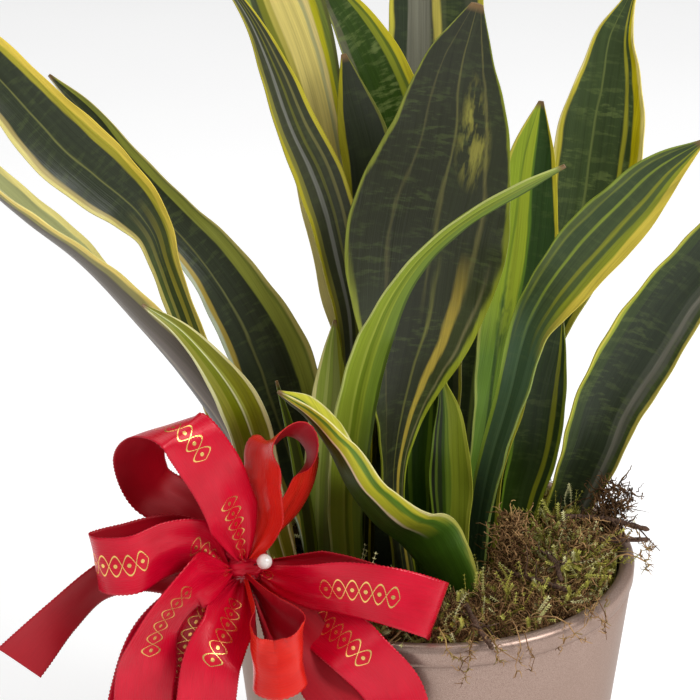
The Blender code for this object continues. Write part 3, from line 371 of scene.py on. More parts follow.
# What each blade looks like: how strongly its dark parts are mottled, then its bands of colour from its
# left edge to its right, as (where the band ends, sRGB colour).
LEAF_LOOKS = {
    "leaf_broad_front": (0.2, [
        (0.02, "7d8430"), (0.27, "2b2e1e"), (0.28, "4a482c"), (0.53, "2b2e1e"), (0.545, "5c5a32"),
        (0.8, "2f3320"), (0.82, "5f5c34"), (0.98, "2e331e"), (1, "7e871c"),
    ]),
    "leaf_lime_half": (0.2, [
        (0.04, "c9c04a"), (0.3, "93a82a"), (0.34, "7a9226"), (0.52, "a2b22c"), (0.56, "5f7f22"),
        (0.93, "2f4a1a"), (1, "cbbd2f"),
    ]),
    "leaf_tall_right": (0.55, [
        (0.035, "e3d48a"), (0.09, "b9ac33"), (0.39, "3b4a26"), (0.41, "65703a"), (0.73, "384722"),
        (0.79, "9c9829"), (0.86, "3a4a22"), (0.95, "bdae00"), (1, "e9d778"),
    ]),
    "leaf_arching_right": (0.15, [
        (0.04, "7f8f2e"), (0.13, "475528"), (0.17, "65702a"), (0.35, "344521"), (0.4, "7a8a2c"),
        (0.61, "3b4a24"), (0.67, "828721"), (0.76, "4c5c26"), (0.86, "8b931e"), (1, "d4bf42"),
    ]),
    # leaf_low_right: its grey bands from 0.70 to 0.90 are a painted highlight, the sheen along the rounded
    # keel of its fold.
    "leaf_low_right": (0.25, [
        (0.04, "c9c04a"), (0.08, "8f9a2e"), (0.24, "34421f"), (0.7, "29321f"), (0.78, "434839"),
        (0.84, "6f6d60"), (0.9, "56584a"), (0.97, "3f4a26"), (1, "b7a94c"),
    ]),
    "leaf_dark_right": (0.3, [
        (0.06, "5f7a1c"), (0.45, "283b0f"), (0.71, "35471e"), (0.81, "989b26"), (0.93, "35471e"),
        (1, "93a02a"),
    ]),
    "leaf_short_centre": (0.0, [
        (0.06, "5c701b"), (0.14, "131905"), (0.2, "4a5c18"), (0.3, "1f2b0a"), (0.38, "334b01"),
        (0.5, "5c701b"), (0.9, "7d8823"), (1, "a4a83a"),
    ]),
    "leaf_inner_centre": (0.0, [
        (0.08, "4f6b16"), (0.2, "27400f"), (0.3, "5f7d1e"), (0.62, "30500f"), (0.7, "6d8b22"),
        (0.92, "2f4a10"), (1, "93a92e"),
    ]),
    "leaf_thin_arching": (0.0, [
        (0.05, "b4bb6a"), (0.4, "86962c"), (0.46, "99a53e"), (0.56, "6a7d1c"), (0.63, "7b8a26"),
        (0.68, "8b992f"), (0.92, "6a7f28"), (1, "46581a"),
    ]),
    "leaf_folded_front": (0.2, [
        (0.03, "d9d28c"), (0.14, "b9b24a"), (0.4, "8f9730"), (0.6, "7d8a28"), (0.7, "a9b034"),
        (0.8, "3f6024"), (0.86, "b3b238"), (0.98, "c9c43c"), (1, "d9d28c"),
    ]),
    "leaf_small_left": (0.0, [
        (0.06, "d9d9a0"), (0.3, "8a8a2e"), (0.5, "717909"), (0.54, "d5d8a0"), (0.6, "9aa040"),
        (0.92, "757710"), (1, "d5cf8f"),
    ]),
    "leaf_tiny_left": (0.0, [(0.2, "6d7f20"), (0.8, "3b4511"), (1, "536302")]),
    "leaf_grey_centre": (0.0, [
        (0.08, "d5d08a"), (0.3, "93a442"), (0.4, "a9b45c"), (0.52, "86963c"), (0.75, "7d8642"),
        (1, "767a12"),
    ]),
    "leaf_long_left": (0.1, [
        (0.06, "d8cb7c"), (0.3, "a9ad7c"), (0.42, "8f9668"), (0.6, "b0b284"), (0.9, "9da06c"),
        (1, "d8cb7c"),
    ]),
    "leaf_tall_striped": (0.1, [
        (0.06, "a59b22"), (0.16, "787531"), (0.34, "3b3e28"), (0.42, "74756a"), (0.52, "33371f"),
        (0.58, "626326"), (0.71, "33371f"), (0.77, "6c6938"), (0.93, "33371f"), (1, "c0b32e"),
    ]),
    "leaf_curled_margin": (0.0, [(0.3, "d5c67b"), (0.6, "948d0d"), (1, "4f4d11")]),
    "leaf_pale_yellow": (0.0, [
        (0.05, "7a8a30"), (0.14, "3a4420"), (0.24, "75781a"), (0.32, "b5a94a"), (0.66, "ddcb73"),
        (0.72, "ada973"), (0.79, "d8c57d"), (0.87, "b2ac10"), (0.95, "6d7a2a"), (1, "565a27"),
    ]),
    "leaf_mottled_top": (0.8, [
        (0.05, "8a8f3a"), (0.2, "585a3d"), (0.74, "304711"), (0.84, "899123"), (0.9, "5f6f1d"),
        (1, "c6b91f"),
    ]),
    "leaf_dark_top": (0.15, [(0.15, "97901b"), (0.93, "2d3321"), (1, "777a2f")]),
    "leaf_tall_centre": (0.3, [
        (0.04, "d0c643"), (0.2, "303a26"), (0.44, "747363"), (0.47, "4b4c3a"), (0.54, "b9ac50"),
        (0.6, "4b5236"), (0.8, "364028"), (0.95, "4c513a"), (1, "c0b53a"),
    ]),
    "leaf_twisted_left": (0.15, [
        (0.06, "d8cb7a"), (0.12, "a8975b"), (0.46, "2f3624"), (0.475, "6c6e3c"), (0.81, "2f3624"),
        (0.9, "a39a2c"), (1, "dec34a"),
    ]),
    "leaf_wide_left": (0.2, [
        (0.05, "b9c2a8"), (0.13, "a7913b"), (0.35, "303724"), (0.37, "6a6c3e"), (0.74, "303724"),
        (0.92, "8f943c"), (0.96, "767d34"), (1, "b9ad62"),
    ]),
    "leaf_back_centre": (0.4, [
        (0.07, "b9ad3a"), (0.3, "33401f"), (0.36, "6e7a35"), (0.6, "2f3a1e"), (0.64, "6e7a35"),
        (0.92, "36421f"), (1, "c2b53c"),
    ]),
    "leaf_back_left": (0.5, [
        (0.09, "b0a53c"), (0.42, "35441f"), (0.5, "7a8438"), (0.9, "2f3d1d"), (1, "bdb03e"),
    ]),
    "leaf_back_right": (0.5, [
        (0.08, "b5a83a"), (0.55, "33421e"), (0.62, "7f8a3a"), (0.91, "34431f"), (1, "c0b440"),
    ]),
}

# The bands near the foot, for the blades where they differ.
LEAF_FEET = {
    "leaf_broad_front": [
        (0.05, "8f9632"), (0.27, "30351f"), (0.28, "4a482c"), (0.58, "2b2e1e"), (0.6, "6a6a34"),
        (0.72, "2f3320"), (0.8, "b09a3c"), (0.9, "39401f"), (0.92, "746f48"), (0.96, "3c451c"),
        (1, "98a12a"),
    ],
    "leaf_lime_half": [
        (0.05, "93a04a"), (0.3, "5f7f28"), (0.36, "3a561a"), (0.5, "6d8a2c"), (0.56, "9aa82e"),
        (0.62, "3c5a1d"), (0.9, "35521a"), (1, "b4b13a"),
    ],
    "leaf_tall_right": [
        (0.06, "b7b85a"), (0.4, "3a4d1f"), (0.44, "76803c"), (0.72, "364a1c"), (0.8, "9aa03a"),
        (0.92, "3c5020"), (1, "b9b23a"),
    ],
    # leaf_arching_right: the blue-grey of these foot bands is partly the blade's own green and partly a
    # painted sheen.
    "leaf_arching_right": [
        (0.08, "8aa236"), (0.34, "465f42"), (0.42, "536c4c"), (0.64, "3a5236"), (0.93, "4b6446"),
        (1, "8a9a4c"),
    ],
    "leaf_twisted_left": [
        (0.12, "c9bd6a"), (0.28, "4f5c28"), (0.38, "8f8a40"), (0.55, "3a4426"), (0.68, "a39a3c"),
        (0.85, "56602c"), (1, "dcc65a"),
    ],
}

# The backs of the blades that show theirs: bands of colour over most of them, and near the foot.
LEAF_BACKS = {
    "leaf_folded_front": ([
        (0.012, "e9dfa0"), (0.06, "d0c83c"), (0.09, "5d8428"), (0.12, "6f9030"), (0.15, "c6c636"),
        (0.22, "bcbf32"), (0.235, "ecd9b4"), (0.29, "2e3d12"), (0.55, "35480f"), (0.93, "34440f"),
        (1, "b7a94c"),
    ], [
        (0.012, "b3b24e"), (0.03, "6c8030"), (0.06, "43621a"), (0.5, "365510"), (0.93, "35500f"),
        (1, "b7a94c"),
    ]),
    "leaf_long_left": ([
        (0.05, "e0c86b"), (0.12, "8f8a52"), (0.3, "5c564a"), (0.45, "696157"), (0.5, "8a8070"),
        (0.7, "544e45"), (0.88, "696157"), (0.95, "a8975b"), (1, "e0c86b"),
    ], None),
}

# Pale mottled patches: (across, share of the length, half width, half length, colour).
LEAF_PATCHES = {
    "leaf_broad_front": (0.70, 0.80, 0.16, 0.10, "8f8a3c"),
    "leaf_folded_front": (0.80, 0.62, 0.14, 0.16, "3f6024"),
    "leaf_lime_half": (0.35, 0.55, 0.12, 0.10, "3f5c1e"),
}

# How much of each clump of moss is green and feathery; the rest is brown fibre.
MOSS_GREEN = {
    "moss_right": 0.50,
    "moss_front_right": 0.12,
    "moss_front": 0.10,
    "moss_front_left": 0.35,
    "moss_left": 0.5,
    "moss_back_left": 0.5,
    "moss_back": 0.45,
    "moss_back_right": 0.55,
}

# Where the moss's own shade lies between its driest brown fibre (0) and its freshest green (1).
MOSS_SHADES = [
    (0, "3a2617"), (0.25, "7b5734"), (0.42, "c69c6a"), (0.52, "93823c"), (0.66, "a59f3e"), (0.84, "c8c566"),
    (1, "ece8b4"),
]


def srgb(text):
    """The linear colour of an sRGB hex string."""
    channels = [int(text[k:k + 2], 16) / 255 for k in (0, 2, 4)]
    return tuple(c / 12.92 if c <= 0.04045 else ((c + 0.055) / 1.055) ** 2.4 for c in channels)


def brightness(colour):
    return 0.21 * colour[0] + 0.72 * colour[1] + 0.07 * colour[2]


class Look:
    """A material in the making: a Principled shader and the nodes that feed it."""

    def __init__(self, name, **settings):
        self.material = bpy.data.materials.new(name)
        self.material.use_nodes = True
        self.tree = self.material.node_tree
        self.shader = self.tree.nodes["Principled BSDF"]
        for socket, value in settings.items():
            self.give(socket.replace("_", " "), value)

    def give(self, socket, value):
        self.join(self.shader.inputs[socket], value)

    def join(self, socket, value):
        """Links a socket to another node's output, or sets it to a value or to an sRGB hex colour."""
        if isinstance(value, bpy.types.NodeSocket):
            self.tree.links.new(value, socket)
        elif isinstance(value, str):
            socket.default_value = (*srgb(value), 1.0)
        else:
            socket.default_value = value

    def node(self, kind, inputs, **settings):
        made = self.tree.nodes.new("ShaderNode" + kind)
        for key, value in settings.items():
            setattr(made, key, value)
        for socket, value in inputs.items():
            self.join(made.inputs[socket], value)
        return made

    def place(self):
        """Where a point is on the object, in metres."""
        return self.node("TexCoord", {}).outputs["Object"]

    def attribute(self, name):
        return self.node("Attribute", {}, attribute_name=name).outputs["Vector"]

    def split(self, vector):
        return self.node("SeparateXYZ", {0: vector}).outputs

    def scaled(self, vector, factors):
        return self.node("VectorMath", {0: vector, 1: factors}, operation="MULTIPLY").outputs[0]

    def math(self, operation, first, second=0.0):
        return self.node("Math", {0: first, 1: second}, operation=operation).outputs[0]

    def add(self, first, second):
        return self.math("ADD", first, second)

    def times(self, first, second):
        return self.math("MULTIPLY", first, second)

    def noise(self, vector, scale, detail=2.0, rough=0.5):
        inputs = {"Vector": vector, "Scale": scale, "Detail": detail, "Roughness": rough}
        return self.node("TexNoise", inputs).outputs["Fac"]

    def streaks(self, vector, across, along, detail=2.0, rough=0.5):
        """Noise that is finer across a blade or a ribbon than along it."""
        return self.noise(self.scaled(vector, (across, along, 1.0)), 1.0, detail, rough)

    def cells(self, vector, scale):
        return self.node("TexVoronoi", {"Vector": vector, "Scale": scale}).outputs["Distance"]

    def span(self, value, low, high, to_low=0.0, to_high=1.0):
        """A value's place between low and high, carried over to another range and kept inside it."""
        inputs = {"Value": value, "From Min": low, "From Max": high, "To Min": to_low, "To Max": to_high}
        return self.node("MapRange", inputs).outputs["Result"]

    def ramp(self, value, stops):
        """The colour and the alpha at a value, from stops of (place, colour, alpha)."""
        made = self.node("ValToRGB", {"Fac": value})
        elements = made.color_ramp.elements
        while len(elements) < len(stops):
            elements.new(1.0)
        for element, (at, colour, alpha) in zip(elements, stops, strict=True):
            element.position = at
            element.color = (*colour, alpha)
        return made.outputs["Color"], made.outputs["Alpha"]

    def mix(self, share, first, second, blend="MIX"):
        made = self.node("Mix", {}, data_type="RGBA", blend_type=blend)
        self.join(made.inputs[0], share)
        self.join(made.inputs[6], first)
        self.join(made.inputs[7], second)
        return made.outputs[2]

    def tint(self, value, first, second):
        """From one colour to the other over the middle of a noise's range."""
        return self.mix(self.span(value, 0.35, 0.65), first, second)

    def bump(self, height, depth):
        """Bumps as deep as this, in metres, where the height goes from 0 to 1."""
        made = self.node("Bump", {"Height": height, "Distance": depth, "Strength": 1.0})
        self.give("Normal", made.outputs["Normal"])


def band_stops(bands):
    """Ramp stops for bands of colour with soft edges. Alpha marks the dark bands, which are mottled."""
    stops = []
    start = 0.0
    for end, text in bands:
        colour = srgb(text)
        soft = min(0.012, (end - start) / 3)
        dark = 1.0 if brightness(colour) < 0.12 else 0.0
        stops.append((start + (soft if start else 0.0), colour, dark))
        stops.append((end - (soft if end < 1.0 else 0.0), colour, dark))
        start = end
    return stops


def leaf_look(name, length):
    """A blade's bands of colour, its mottling, the fine grain along it and its dry tip."""
    mottle, bands = LEAF_LOOKS[name]
    look = Look(name + "_skin", Specular_IOR_Level=0.25)
    across, share, inside = look.split(look.attribute("blade"))
    flat = look.attribute("flat")
    wander = look.streaks(flat, 30.0, 14.0)
    feather = look.streaks(flat, 260.0, 34.0, 3.0)
    placed = look.add(across, look.span(wander, 0.3, 0.7, -0.025, 0.025))
    placed = look.add(placed, look.span(feather, 0.3, 0.7, -0.012, 0.012))
    colour, dark = look.ramp(placed, band_stops(bands))
    if name in LEAF_FEET:
        low_colour, low_dark = look.ramp(placed, band_stops(LEAF_FEET[name]))
        low = look.span(share, 0.60, 0.46)
        colour = look.mix(low, colour, low_colour)
        dark = look.math("MAXIMUM", dark, look.times(low, low_dark))
    if name in LEAF_BACKS:
        back, low_back = LEAF_BACKS[name]
        back_colour, _ = look.ramp(placed, band_stops(back))
        if low_back:
            low_colour, _ = look.ramp(placed, band_stops(low_back))
            back_colour = look.mix(look.span(share, 0.52, 0.36), back_colour, low_colour)
        colour = look.mix(inside, back_colour, colour)
    if name in LEAF_PATCHES:
        *spot, patch_colour = LEAF_PATCHES[name]
        colour = look.mix(patch(look, across, share, flat, *spot), colour, patch_colour)
    blotches = look.streaks(flat, 110.0, 330.0, 3.0, 0.6)
    broad = look.streaks(flat, 35.0, 50.0)
    amount = look.times(look.span(blotches, 0.50, 0.62), look.span(broad, 0.35, 0.6))
    amount = look.times(look.times(amount, dark), mottle)
    colour = look.mix(amount, colour, "6b7a40")
    grain = look.streaks(flat, 1500.0, 22.0, 3.0)
    veins = look.streaks(flat, 420.0, 5.0)
    shade = look.add(look.span(grain, 0.3, 0.7, -0.10, 0.10), look.span(veins, 0.3, 0.7, 0.86, 1.12))
    grey = look.node("CombineColor", {0: shade, 1: shade, 2: shade}).outputs[0]
    colour = look.mix(1.0, colour, grey, "MULTIPLY")
    colour = look.mix(look.span(share, 1 - 0.004 / length, 1 - 0.001 / length), colour, "7a5f3c")
    look.give("Base Color", colour)
    look.give("Roughness", look.span(grain, 0.3, 0.7, 0.32, 0.44))
    look.bump(look.add(grain, look.times(veins, 1.5)), 0.00012)
    return look.material


def patch(look, across, share, flat, at_across, at_share, wide, long):
    """How strongly a mottled patch shows at a point of the blade."""
    x = look.math("DIVIDE", look.math("SUBTRACT", across, at_across), wide)
    y = look.math("DIVIDE", look.math("SUBTRACT", share, at_share), long)
    away = look.math("SQRT", look.add(look.times(x, x), look.times(y, y)))
    flecks = look.streaks(flat, 260.0, 60.0, 3.0, 0.6)
    return look.times(look.span(away, 1.0, 0.4), look.span(flecks, 0.45, 0.6))


def glaze_look():
    """A champagne glaze with a pearly lustre and a very fine speckle."""
    look = Look("satin_glaze_finish", Metallic=0.6, Coat_Weight=0.10, Coat_Roughness=0.25)
    look.give("Specular Tint", "b9a79c")
    place = look.place()
    speckle = look.noise(place, 2600.0, 2.0, 0.7)
    cloud = look.noise(place, 18.0)
    colour = look.tint(speckle, "8a7266", "b39b8f")
    colour = look.mix(look.span(cloud, 0.35, 0.65, 0.0, 0.25), colour, "8f786b")
    look.give("Base Color", colour)
    look.give("Roughness", look.span(speckle, 0.3, 0.7, 0.28, 0.42))
    look.bump(look.add(speckle, look.times(look.noise(place, 160.0), 2.0)), 0.00003)
    return look.material


def plastic_look():
    look = Look("black_plastic_finish", Roughness=0.5)
    place = look.place()
    scuffs = look.noise(look.scaled(place, (1.0, 1.0, 4.0)), 300.0, 3.0)
    look.give("Base Color", look.mix(look.span(scuffs, 0.4, 0.7), "1b1b1c", "2b2a29"))
    look.give("Roughness", look.span(scuffs, 0.3, 0.7, 0.42, 0.6))
    look.bump(look.noise(place, 1500.0), 0.00004)
    return look.material


def soil_look():
    look = Look("soil_finish", Roughness=0.95, Specular_IOR_Level=0.2)
    place = look.place()
    grains = look.cells(place, 420.0)
    tint = look.noise(place, 140.0, 3.0)
    colour = look.tint(tint, "1f1611", "4a3526")
    colour = look.mix(look.span(grains, 0.0, 0.5, 0.6, 0.0), colour, "6a4f3a")
    look.give("Base Color", colour)
    look.bump(look.add(grains, tint), 0.0009)
    return look.material


def moss_look():
    """Strands carry their own shade, from brown fibre to fresh green, and how far along they are, which sets
    a painted shade towards their roots.
    """
    look = Look("moss_finish", Roughness=0.85, Specular_IOR_Level=0.25)
    shade, tip, _ = look.split(look.attribute("strand"))
    colour, _ = look.ramp(shade, [(at, srgb(text), 1.0) for at, text in MOSS_SHADES])
    # Painted shade: each strand darkens towards its root, down inside the clump.
    colour = look.mix(look.span(tip, 0.0, 0.5, 0.40, 0.0), colour, "221a0e")
    spots = look.noise(look.place(), 700.0, 3.0)
    colour = look.mix(look.span(spots, 0.45, 0.7, 0.0, 0.25), colour, "4a3415")
    look.give("Base Color", colour)
    look.bump(spots, 0.0003)
    return look.material


def bark_look():
    look = Look("bark_finish", Roughness=0.85, Specular_IOR_Level=0.3)
    place = look.place()
    scales = look.cells(look.scaled(place, (1.0, 1.0, 0.6)), 900.0)
    tint = look.noise(place, 260.0, 4.0, 0.65)
    colour = look.tint(tint, "2a1a14", "5d4334")
    colour = look.mix(look.span(scales, 0.3, 0.7, 0.0, 0.5), colour, "7b6252")
    look.give("Base Color", colour)
    look.bump(look.add(scales, tint), 0.0004)
    return look.material


def satin_look(name, front_low, front_high, printed):
    """Satin with a fine weave. A printed one has a braid of two gold hairlines round a row of dots."""
    look = Look(name, Anisotropic=0.4, Specular_IOR_Level=0.6)
    look.give("Specular Tint", "ffb0b0")
    band = look.attribute("band")
    x, y, inside = look.split(band)
    twill = look.node(
        "TexWave", {"Vector": look.scaled(band, (1.0, 1.0, 0.0)), "Scale": 900.0, "Distortion": 0.6},
        wave_type="BANDS", bands_direction="DIAGONAL",
    ).outputs["Fac"]
    threads = look.streaks(band, 2600.0, 90.0, 2.0)
    cloud = look.streaks(band, 60.0, 40.0)
    front = look.mix(look.span(cloud, 0.3, 0.7), front_low, front_high)
    back = look.mix(look.span(twill, 0.2, 0.8), "8e0014", "b4051c")
    colour = look.mix(inside, front, back)
    colour = look.mix(look.span(threads, 0.35, 0.65, 0.0, 0.22), colour, "7c0012")
    rough = look.add(look.span(threads, 0.3, 0.7, 0.22, 0.32), look.times(inside, 0.18))
    if printed:
        gold = look.times(braid(look, x, y), look.math("SUBTRACT", 1.0, inside))
        colour = look.mix(gold, colour, "ecc773")
        look.give("Metallic", gold)
    look.give("Base Color", colour)
    look.give("Roughness", rough)
    look.bump(look.add(look.times(twill, 0.5), threads), 0.00004)
    return look.material


def braid(look, x, y):
    """Where the gold is: two waves that cross, a dot in each eye, in groups along the ribbon."""
    wave_length, wave_height, line, dot, group, gap = 0.012, 0.0044, 0.0003, 0.0008, 0.036, 0.060
    swing = look.math("SINE", look.times(y, 2 * math.pi / wave_length))
    swing = look.times(swing, wave_height)
    first = look.math("ABSOLUTE", look.math("SUBTRACT", x, swing))
    second = look.math("ABSOLUTE", look.add(x, swing))
    lines = look.span(look.math("MINIMUM", first, second), line * 1.6, line)
    eye = look.math("SUBTRACT", look.math("PINGPONG", y, wave_length / 4), wave_length / 4)
    away = look.math("SQRT", look.add(look.times(x, x), look.times(eye, eye)))
    dots = look.span(away, dot * 1.2, dot)
    inside_group = look.math("LESS_THAN", look.math("MODULO", y, gap), group)
    return look.times(look.math("MAXIMUM", lines, dots), inside_group)


def pearl_look():
    look = Look("pearl_finish", Roughness=0.22, Coat_Weight=0.8, Coat_Roughness=0.08, Specular_IOR_Level=0.6)
    place = look.place()
    cloud = look.noise(place, 350.0)
    look.give("Base Color", look.tint(cloud, "e9e2da", "f6f1ec"))
    look.bump(look.noise(place, 900.0), 0.00002)
    return look.material


def steel_look():
    look = Look("pin_steel", Metallic=1.0)
    scratches = look.noise(look.scaled(look.place(), (1.0, 1.0, 0.1)), 5000.0)
    look.give("Base Color", look.mix(scratches, "b9bcc0", "8f9296"))
    look.give("Roughness", look.span(scratches, 0.3, 0.7, 0.2, 0.35))
    return look.material


def wood_look():
    look = Look("stick_wood_finish", Roughness=0.65)
    place = look.place()
    grain = look.noise(look.scaled(place, (1.0, 1.0, 0.08)), 1800.0, 3.0)
    look.give("Base Color", look.tint(grain, "a5834f", "cbab74"))
    look.bump(grain, 0.00008)
    return look.material


def floor_look():
    look = Look("floor_finish", Roughness=0.9, Emission_Strength=0.3)
    look.give("Emission Color", "ffffff")
    cloud = look.noise(look.place(), 3.0)
    look.give("Base Color", look.mix(cloud, "fafafa", "f4f4f4"))
    return look.material


def new_piece(name, points, faces, look, replaced=(), attributes=None):
    """A piece on the plant's body, with the CAD nodes that it stands for and its point attributes."""
    mesh = bpy.data.meshes.new(name)
    mesh.from_pydata(np.asarray(points, float).reshape(-1, 3).tolist(), [], faces)
    for key, values in (attributes or {}).items():
        data = mesh.attributes.new(key, "FLOAT_VECTOR", "POINT").data
        data.foreach_set("vector", np.asarray(values, np.float32).ravel())
    mesh.materials.append(look)
    mesh.shade_smooth()
    item = bpy.data.objects.new(name, mesh)
    bpy.context.scene.collection.objects.link(item)
    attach(item, BODY)
    if replaced:
        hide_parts(*replaced)
    return item


def unit(rows):
    return rows / np.linalg.norm(rows, axis=-1, keepdims=True)


def smooth_path(stations, count):
    """The stations' columns read at count places evenly spaced along a smooth curve through them."""
    table = np.array(stations, float)
    steps = np.linalg.norm(np.diff(table[:, :3], axis=0), axis=1)
    knots = np.concatenate([[0.0], np.cumsum(steps)])
    slopes = np.gradient(table, knots, axis=0)
    at = np.linspace(0.0, knots[-1], count)
    k = np.clip(np.searchsorted(knots, at, side="right") - 1, 0, len(knots) - 2)
    span = (knots[k + 1] - knots[k])[:, None]
    t = (at - knots[k])[:, None] / span
    return (
        (2 * t**3 - 3 * t**2 + 1) * table[k]
        + (t**3 - 2 * t**2 + t) * span * slopes[k]
        + (3 * t**2 - 2 * t**3) * table[k + 1]
        + (t**3 - t**2) * span * slopes[k + 1]
    )


def polar(angle, radius, height):
    """Points at these angles and distances from the pot's axis."""
    places = np.broadcast_arrays(np.cos(angle) * radius, np.sin(angle) * radius, height)
    return np.stack(places, axis=-1)


def walked(path):
    """How far along the path each of its points is."""
    steps = np.linalg.norm(np.diff(path[:, :3], axis=0), axis=1)
    return np.concatenate([[0.0], np.cumsum(steps)])


def ring_faces(rings, around):
    """Quads between closed rings of points, and a cap at each end."""
    last = (rings - 1) * around
    faces = [tuple(reversed(range(around))), tuple(range(last, last + around))]
    for low in range(0, last, around):
        high = low + around
        for k in range(around):
            after = (k + 1) % around
            faces.append((low + k, low + after, high + after, high + k))
    return faces


def circle_round(along, sides):
    """A direction at right angles to each step of a path, and offsets of length 1 all round it."""
    upright = np.abs(along[..., 2:3]) > 0.8
    first = unit(np.cross(along, np.where(upright, (1.0, 0.0, 0.0), (0.0, 0.0, 1.0))))
    second = np.cross(along, first)
    angles = (np.arange(sides) * 2 * math.pi / sides)[:, None]
    return first, first[..., None, :] * np.cos(angles) + second[..., None, :] * np.sin(angles)


def build_leaf(number, name):
    """A cupped blade with slightly wavy margins. Its attributes say where on the blade each point is."""
    cup_foot, cup_tip, stations = LEAVES[name]
    path = smooth_path(stations, LEAF_RINGS)
    path[:, 2] += SOIL_TOP + GAP
    width = np.maximum(path[:, 3], LEAF_TIP_WIDTH)[:, None, None]
    along = unit(np.gradient(path[:, :3], axis=0))
    facing = unit(FACE - (along @ FACE)[:, None] * along)
    across = np.cross(along, facing)
    turn = np.radians(path[:, 4])[:, None]
    side = (across * np.cos(turn) - facing * np.sin(turn))[:, None, :]
    face = (facing * np.cos(turn) + across * np.sin(turn))[:, None, :]
    share = np.linspace(0.0, 1.0, LEAF_RINGS)
    half = np.radians(cup_foot + (cup_tip - cup_foot) * share)[:, None, None] / 2
    u = np.linspace(-1.0, 1.0, LEAF_ACROSS)[None, :, None]
    inner = path[:, None, :3] + width / 2 * (side * np.sin(half * u) + face * (1 - np.cos(half * u))) / half
    normal = face * np.cos(half * u) - side * np.sin(half * u)
    length = walked(path)[:, None, None]
    ripple = np.sin(length * 115 + number + 1.5 * np.sign(u))
    ripple += 0.5 * np.sin(length * 290 + 2 * number - np.sign(u))
    inner = inner + normal * ripple * np.abs(u) ** 3 * LEAF_RIPPLE * np.minimum(1.0, width / 0.025)
    middle = LEAF_THICKNESS * np.minimum(1.0, 0.35 + width / 0.02)
    outer = inner - normal * (LEAF_MARGIN + (middle - LEAF_MARGIN) * (1 - u**2))
    rings = np.concatenate([inner, outer[:, ::-1]], axis=1)
    rings[..., 2] = np.maximum(rings[..., 2], SOIL_TOP + GAP)
    around = 2 * LEAF_ACROSS
    places = np.concatenate([u, u[:, ::-1]], axis=1)[..., 0] * np.ones((LEAF_RINGS, 1))
    lengths = share[:, None] * np.ones((1, around))
    inside = np.ones((LEAF_RINGS, 1)) * np.concatenate([np.ones(LEAF_ACROSS), np.zeros(LEAF_ACROSS)])
    blade = np.stack([(places + 1) / 2, lengths, inside], axis=-1)
    total = length[-1, 0, 0]
    metres = np.stack([places * width[..., 0] / 2, lengths * total, number * 3.7 + inside], axis=-1)
    piece = new_piece(
        name + "_blade", rings, ring_faces(LEAF_RINGS, around), leaf_look(name, total),
        (name,), {"blade": blade, "flat": metres},
    )
    piece.data.set_sharp_from_angle(angle=math.radians(50))


def turned(profile, sides):
    """Points and faces of a solid of revolution about Z. The profile starts and ends on the axis."""
    points = [(0.0, 0.0, profile[0][1])]
    for radius, z in profile[1:-1]:
        for k in range(sides):
            angle = 2 * math.pi * k / sides
            points.append((radius * math.cos(angle), radius * math.sin(angle), z))
    points.append((0.0, 0.0, profile[-1][1]))
    rings = len(profile) - 2
    faces = []
    for k in range(sides):
        after = (k + 1) % sides
        faces.append((0, 1 + after, 1 + k))
        for ring in range(rings - 1):
            low = 1 + ring * sides
            high = low + sides
            faces.append((low + k, low + after, high + after, high + k))
        last = 1 + (rings - 1) * sides
        faces.append((last + k, last + after, len(points) - 1))
    return points, faces


def arc(centre_radius, centre_z, radius, first, last, steps):
    """Points (radius, z) on an arc in the pot's section, from one angle to another in degrees."""
    angles = np.radians(np.linspace(first, last, steps))
    return [(centre_radius + radius * math.cos(a), centre_z + radius * math.sin(a)) for a in angles]


def line(start, end, steps):
    """Points from the start up to, but not at, the end."""
    shares = np.linspace(0.0, 1.0, steps, endpoint=False)
    return [(start[0] + (end[0] - start[0]) * s, start[1] + (end[1] - start[1]) * s) for s in shares]


def build_pot():
    lip_radius = (POT_WALL + POT_LIP_STEP) / 2
    lip_low = POT_HEIGHT - POT_LIP_HEIGHT
    wall_top = POT_RIM_RADIUS - POT_LIP_STEP
    groove = (wall_top - 0.0007, lip_low - POT_LIP_STEP - 0.0004)
    wall_end = (wall_top - 0.0002, lip_low - POT_LIP_STEP - 0.0026)
    foot = arc(POT_BASE_RADIUS - POT_FOOT_ROUND, POT_FOOT_ROUND, POT_FOOT_ROUND, -90, -6, 8)
    band_low = (wall_top, lip_low - POT_LIP_STEP)
    band_top = (POT_RIM_RADIUS, lip_low + POT_LIP_STEP)
    inner_top = (wall_top - POT_WALL, lip_low)
    inner_low = (POT_BASE_RADIUS - POT_WALL, POT_FLOOR)
    profile = [(0.0, 0.0)] + foot[:-1] + line(foot[-1], wall_end, 24) + [wall_end, groove, band_low]
    profile += line(band_low, band_top, 6)[1:]
    profile += arc(POT_RIM_RADIUS - lip_radius, POT_HEIGHT - lip_radius, lip_radius, 0, 180, 19)
    profile += line(inner_top, inner_low, 12) + [inner_low, (0.0, POT_FLOOR)]
    points, faces = turned(profile, POT_SIDES)
    piece = new_piece("pot_glazed", points, faces, glaze_look(), ("pot",))
    piece.data.set_sharp_from_angle(angle=math.radians(40))


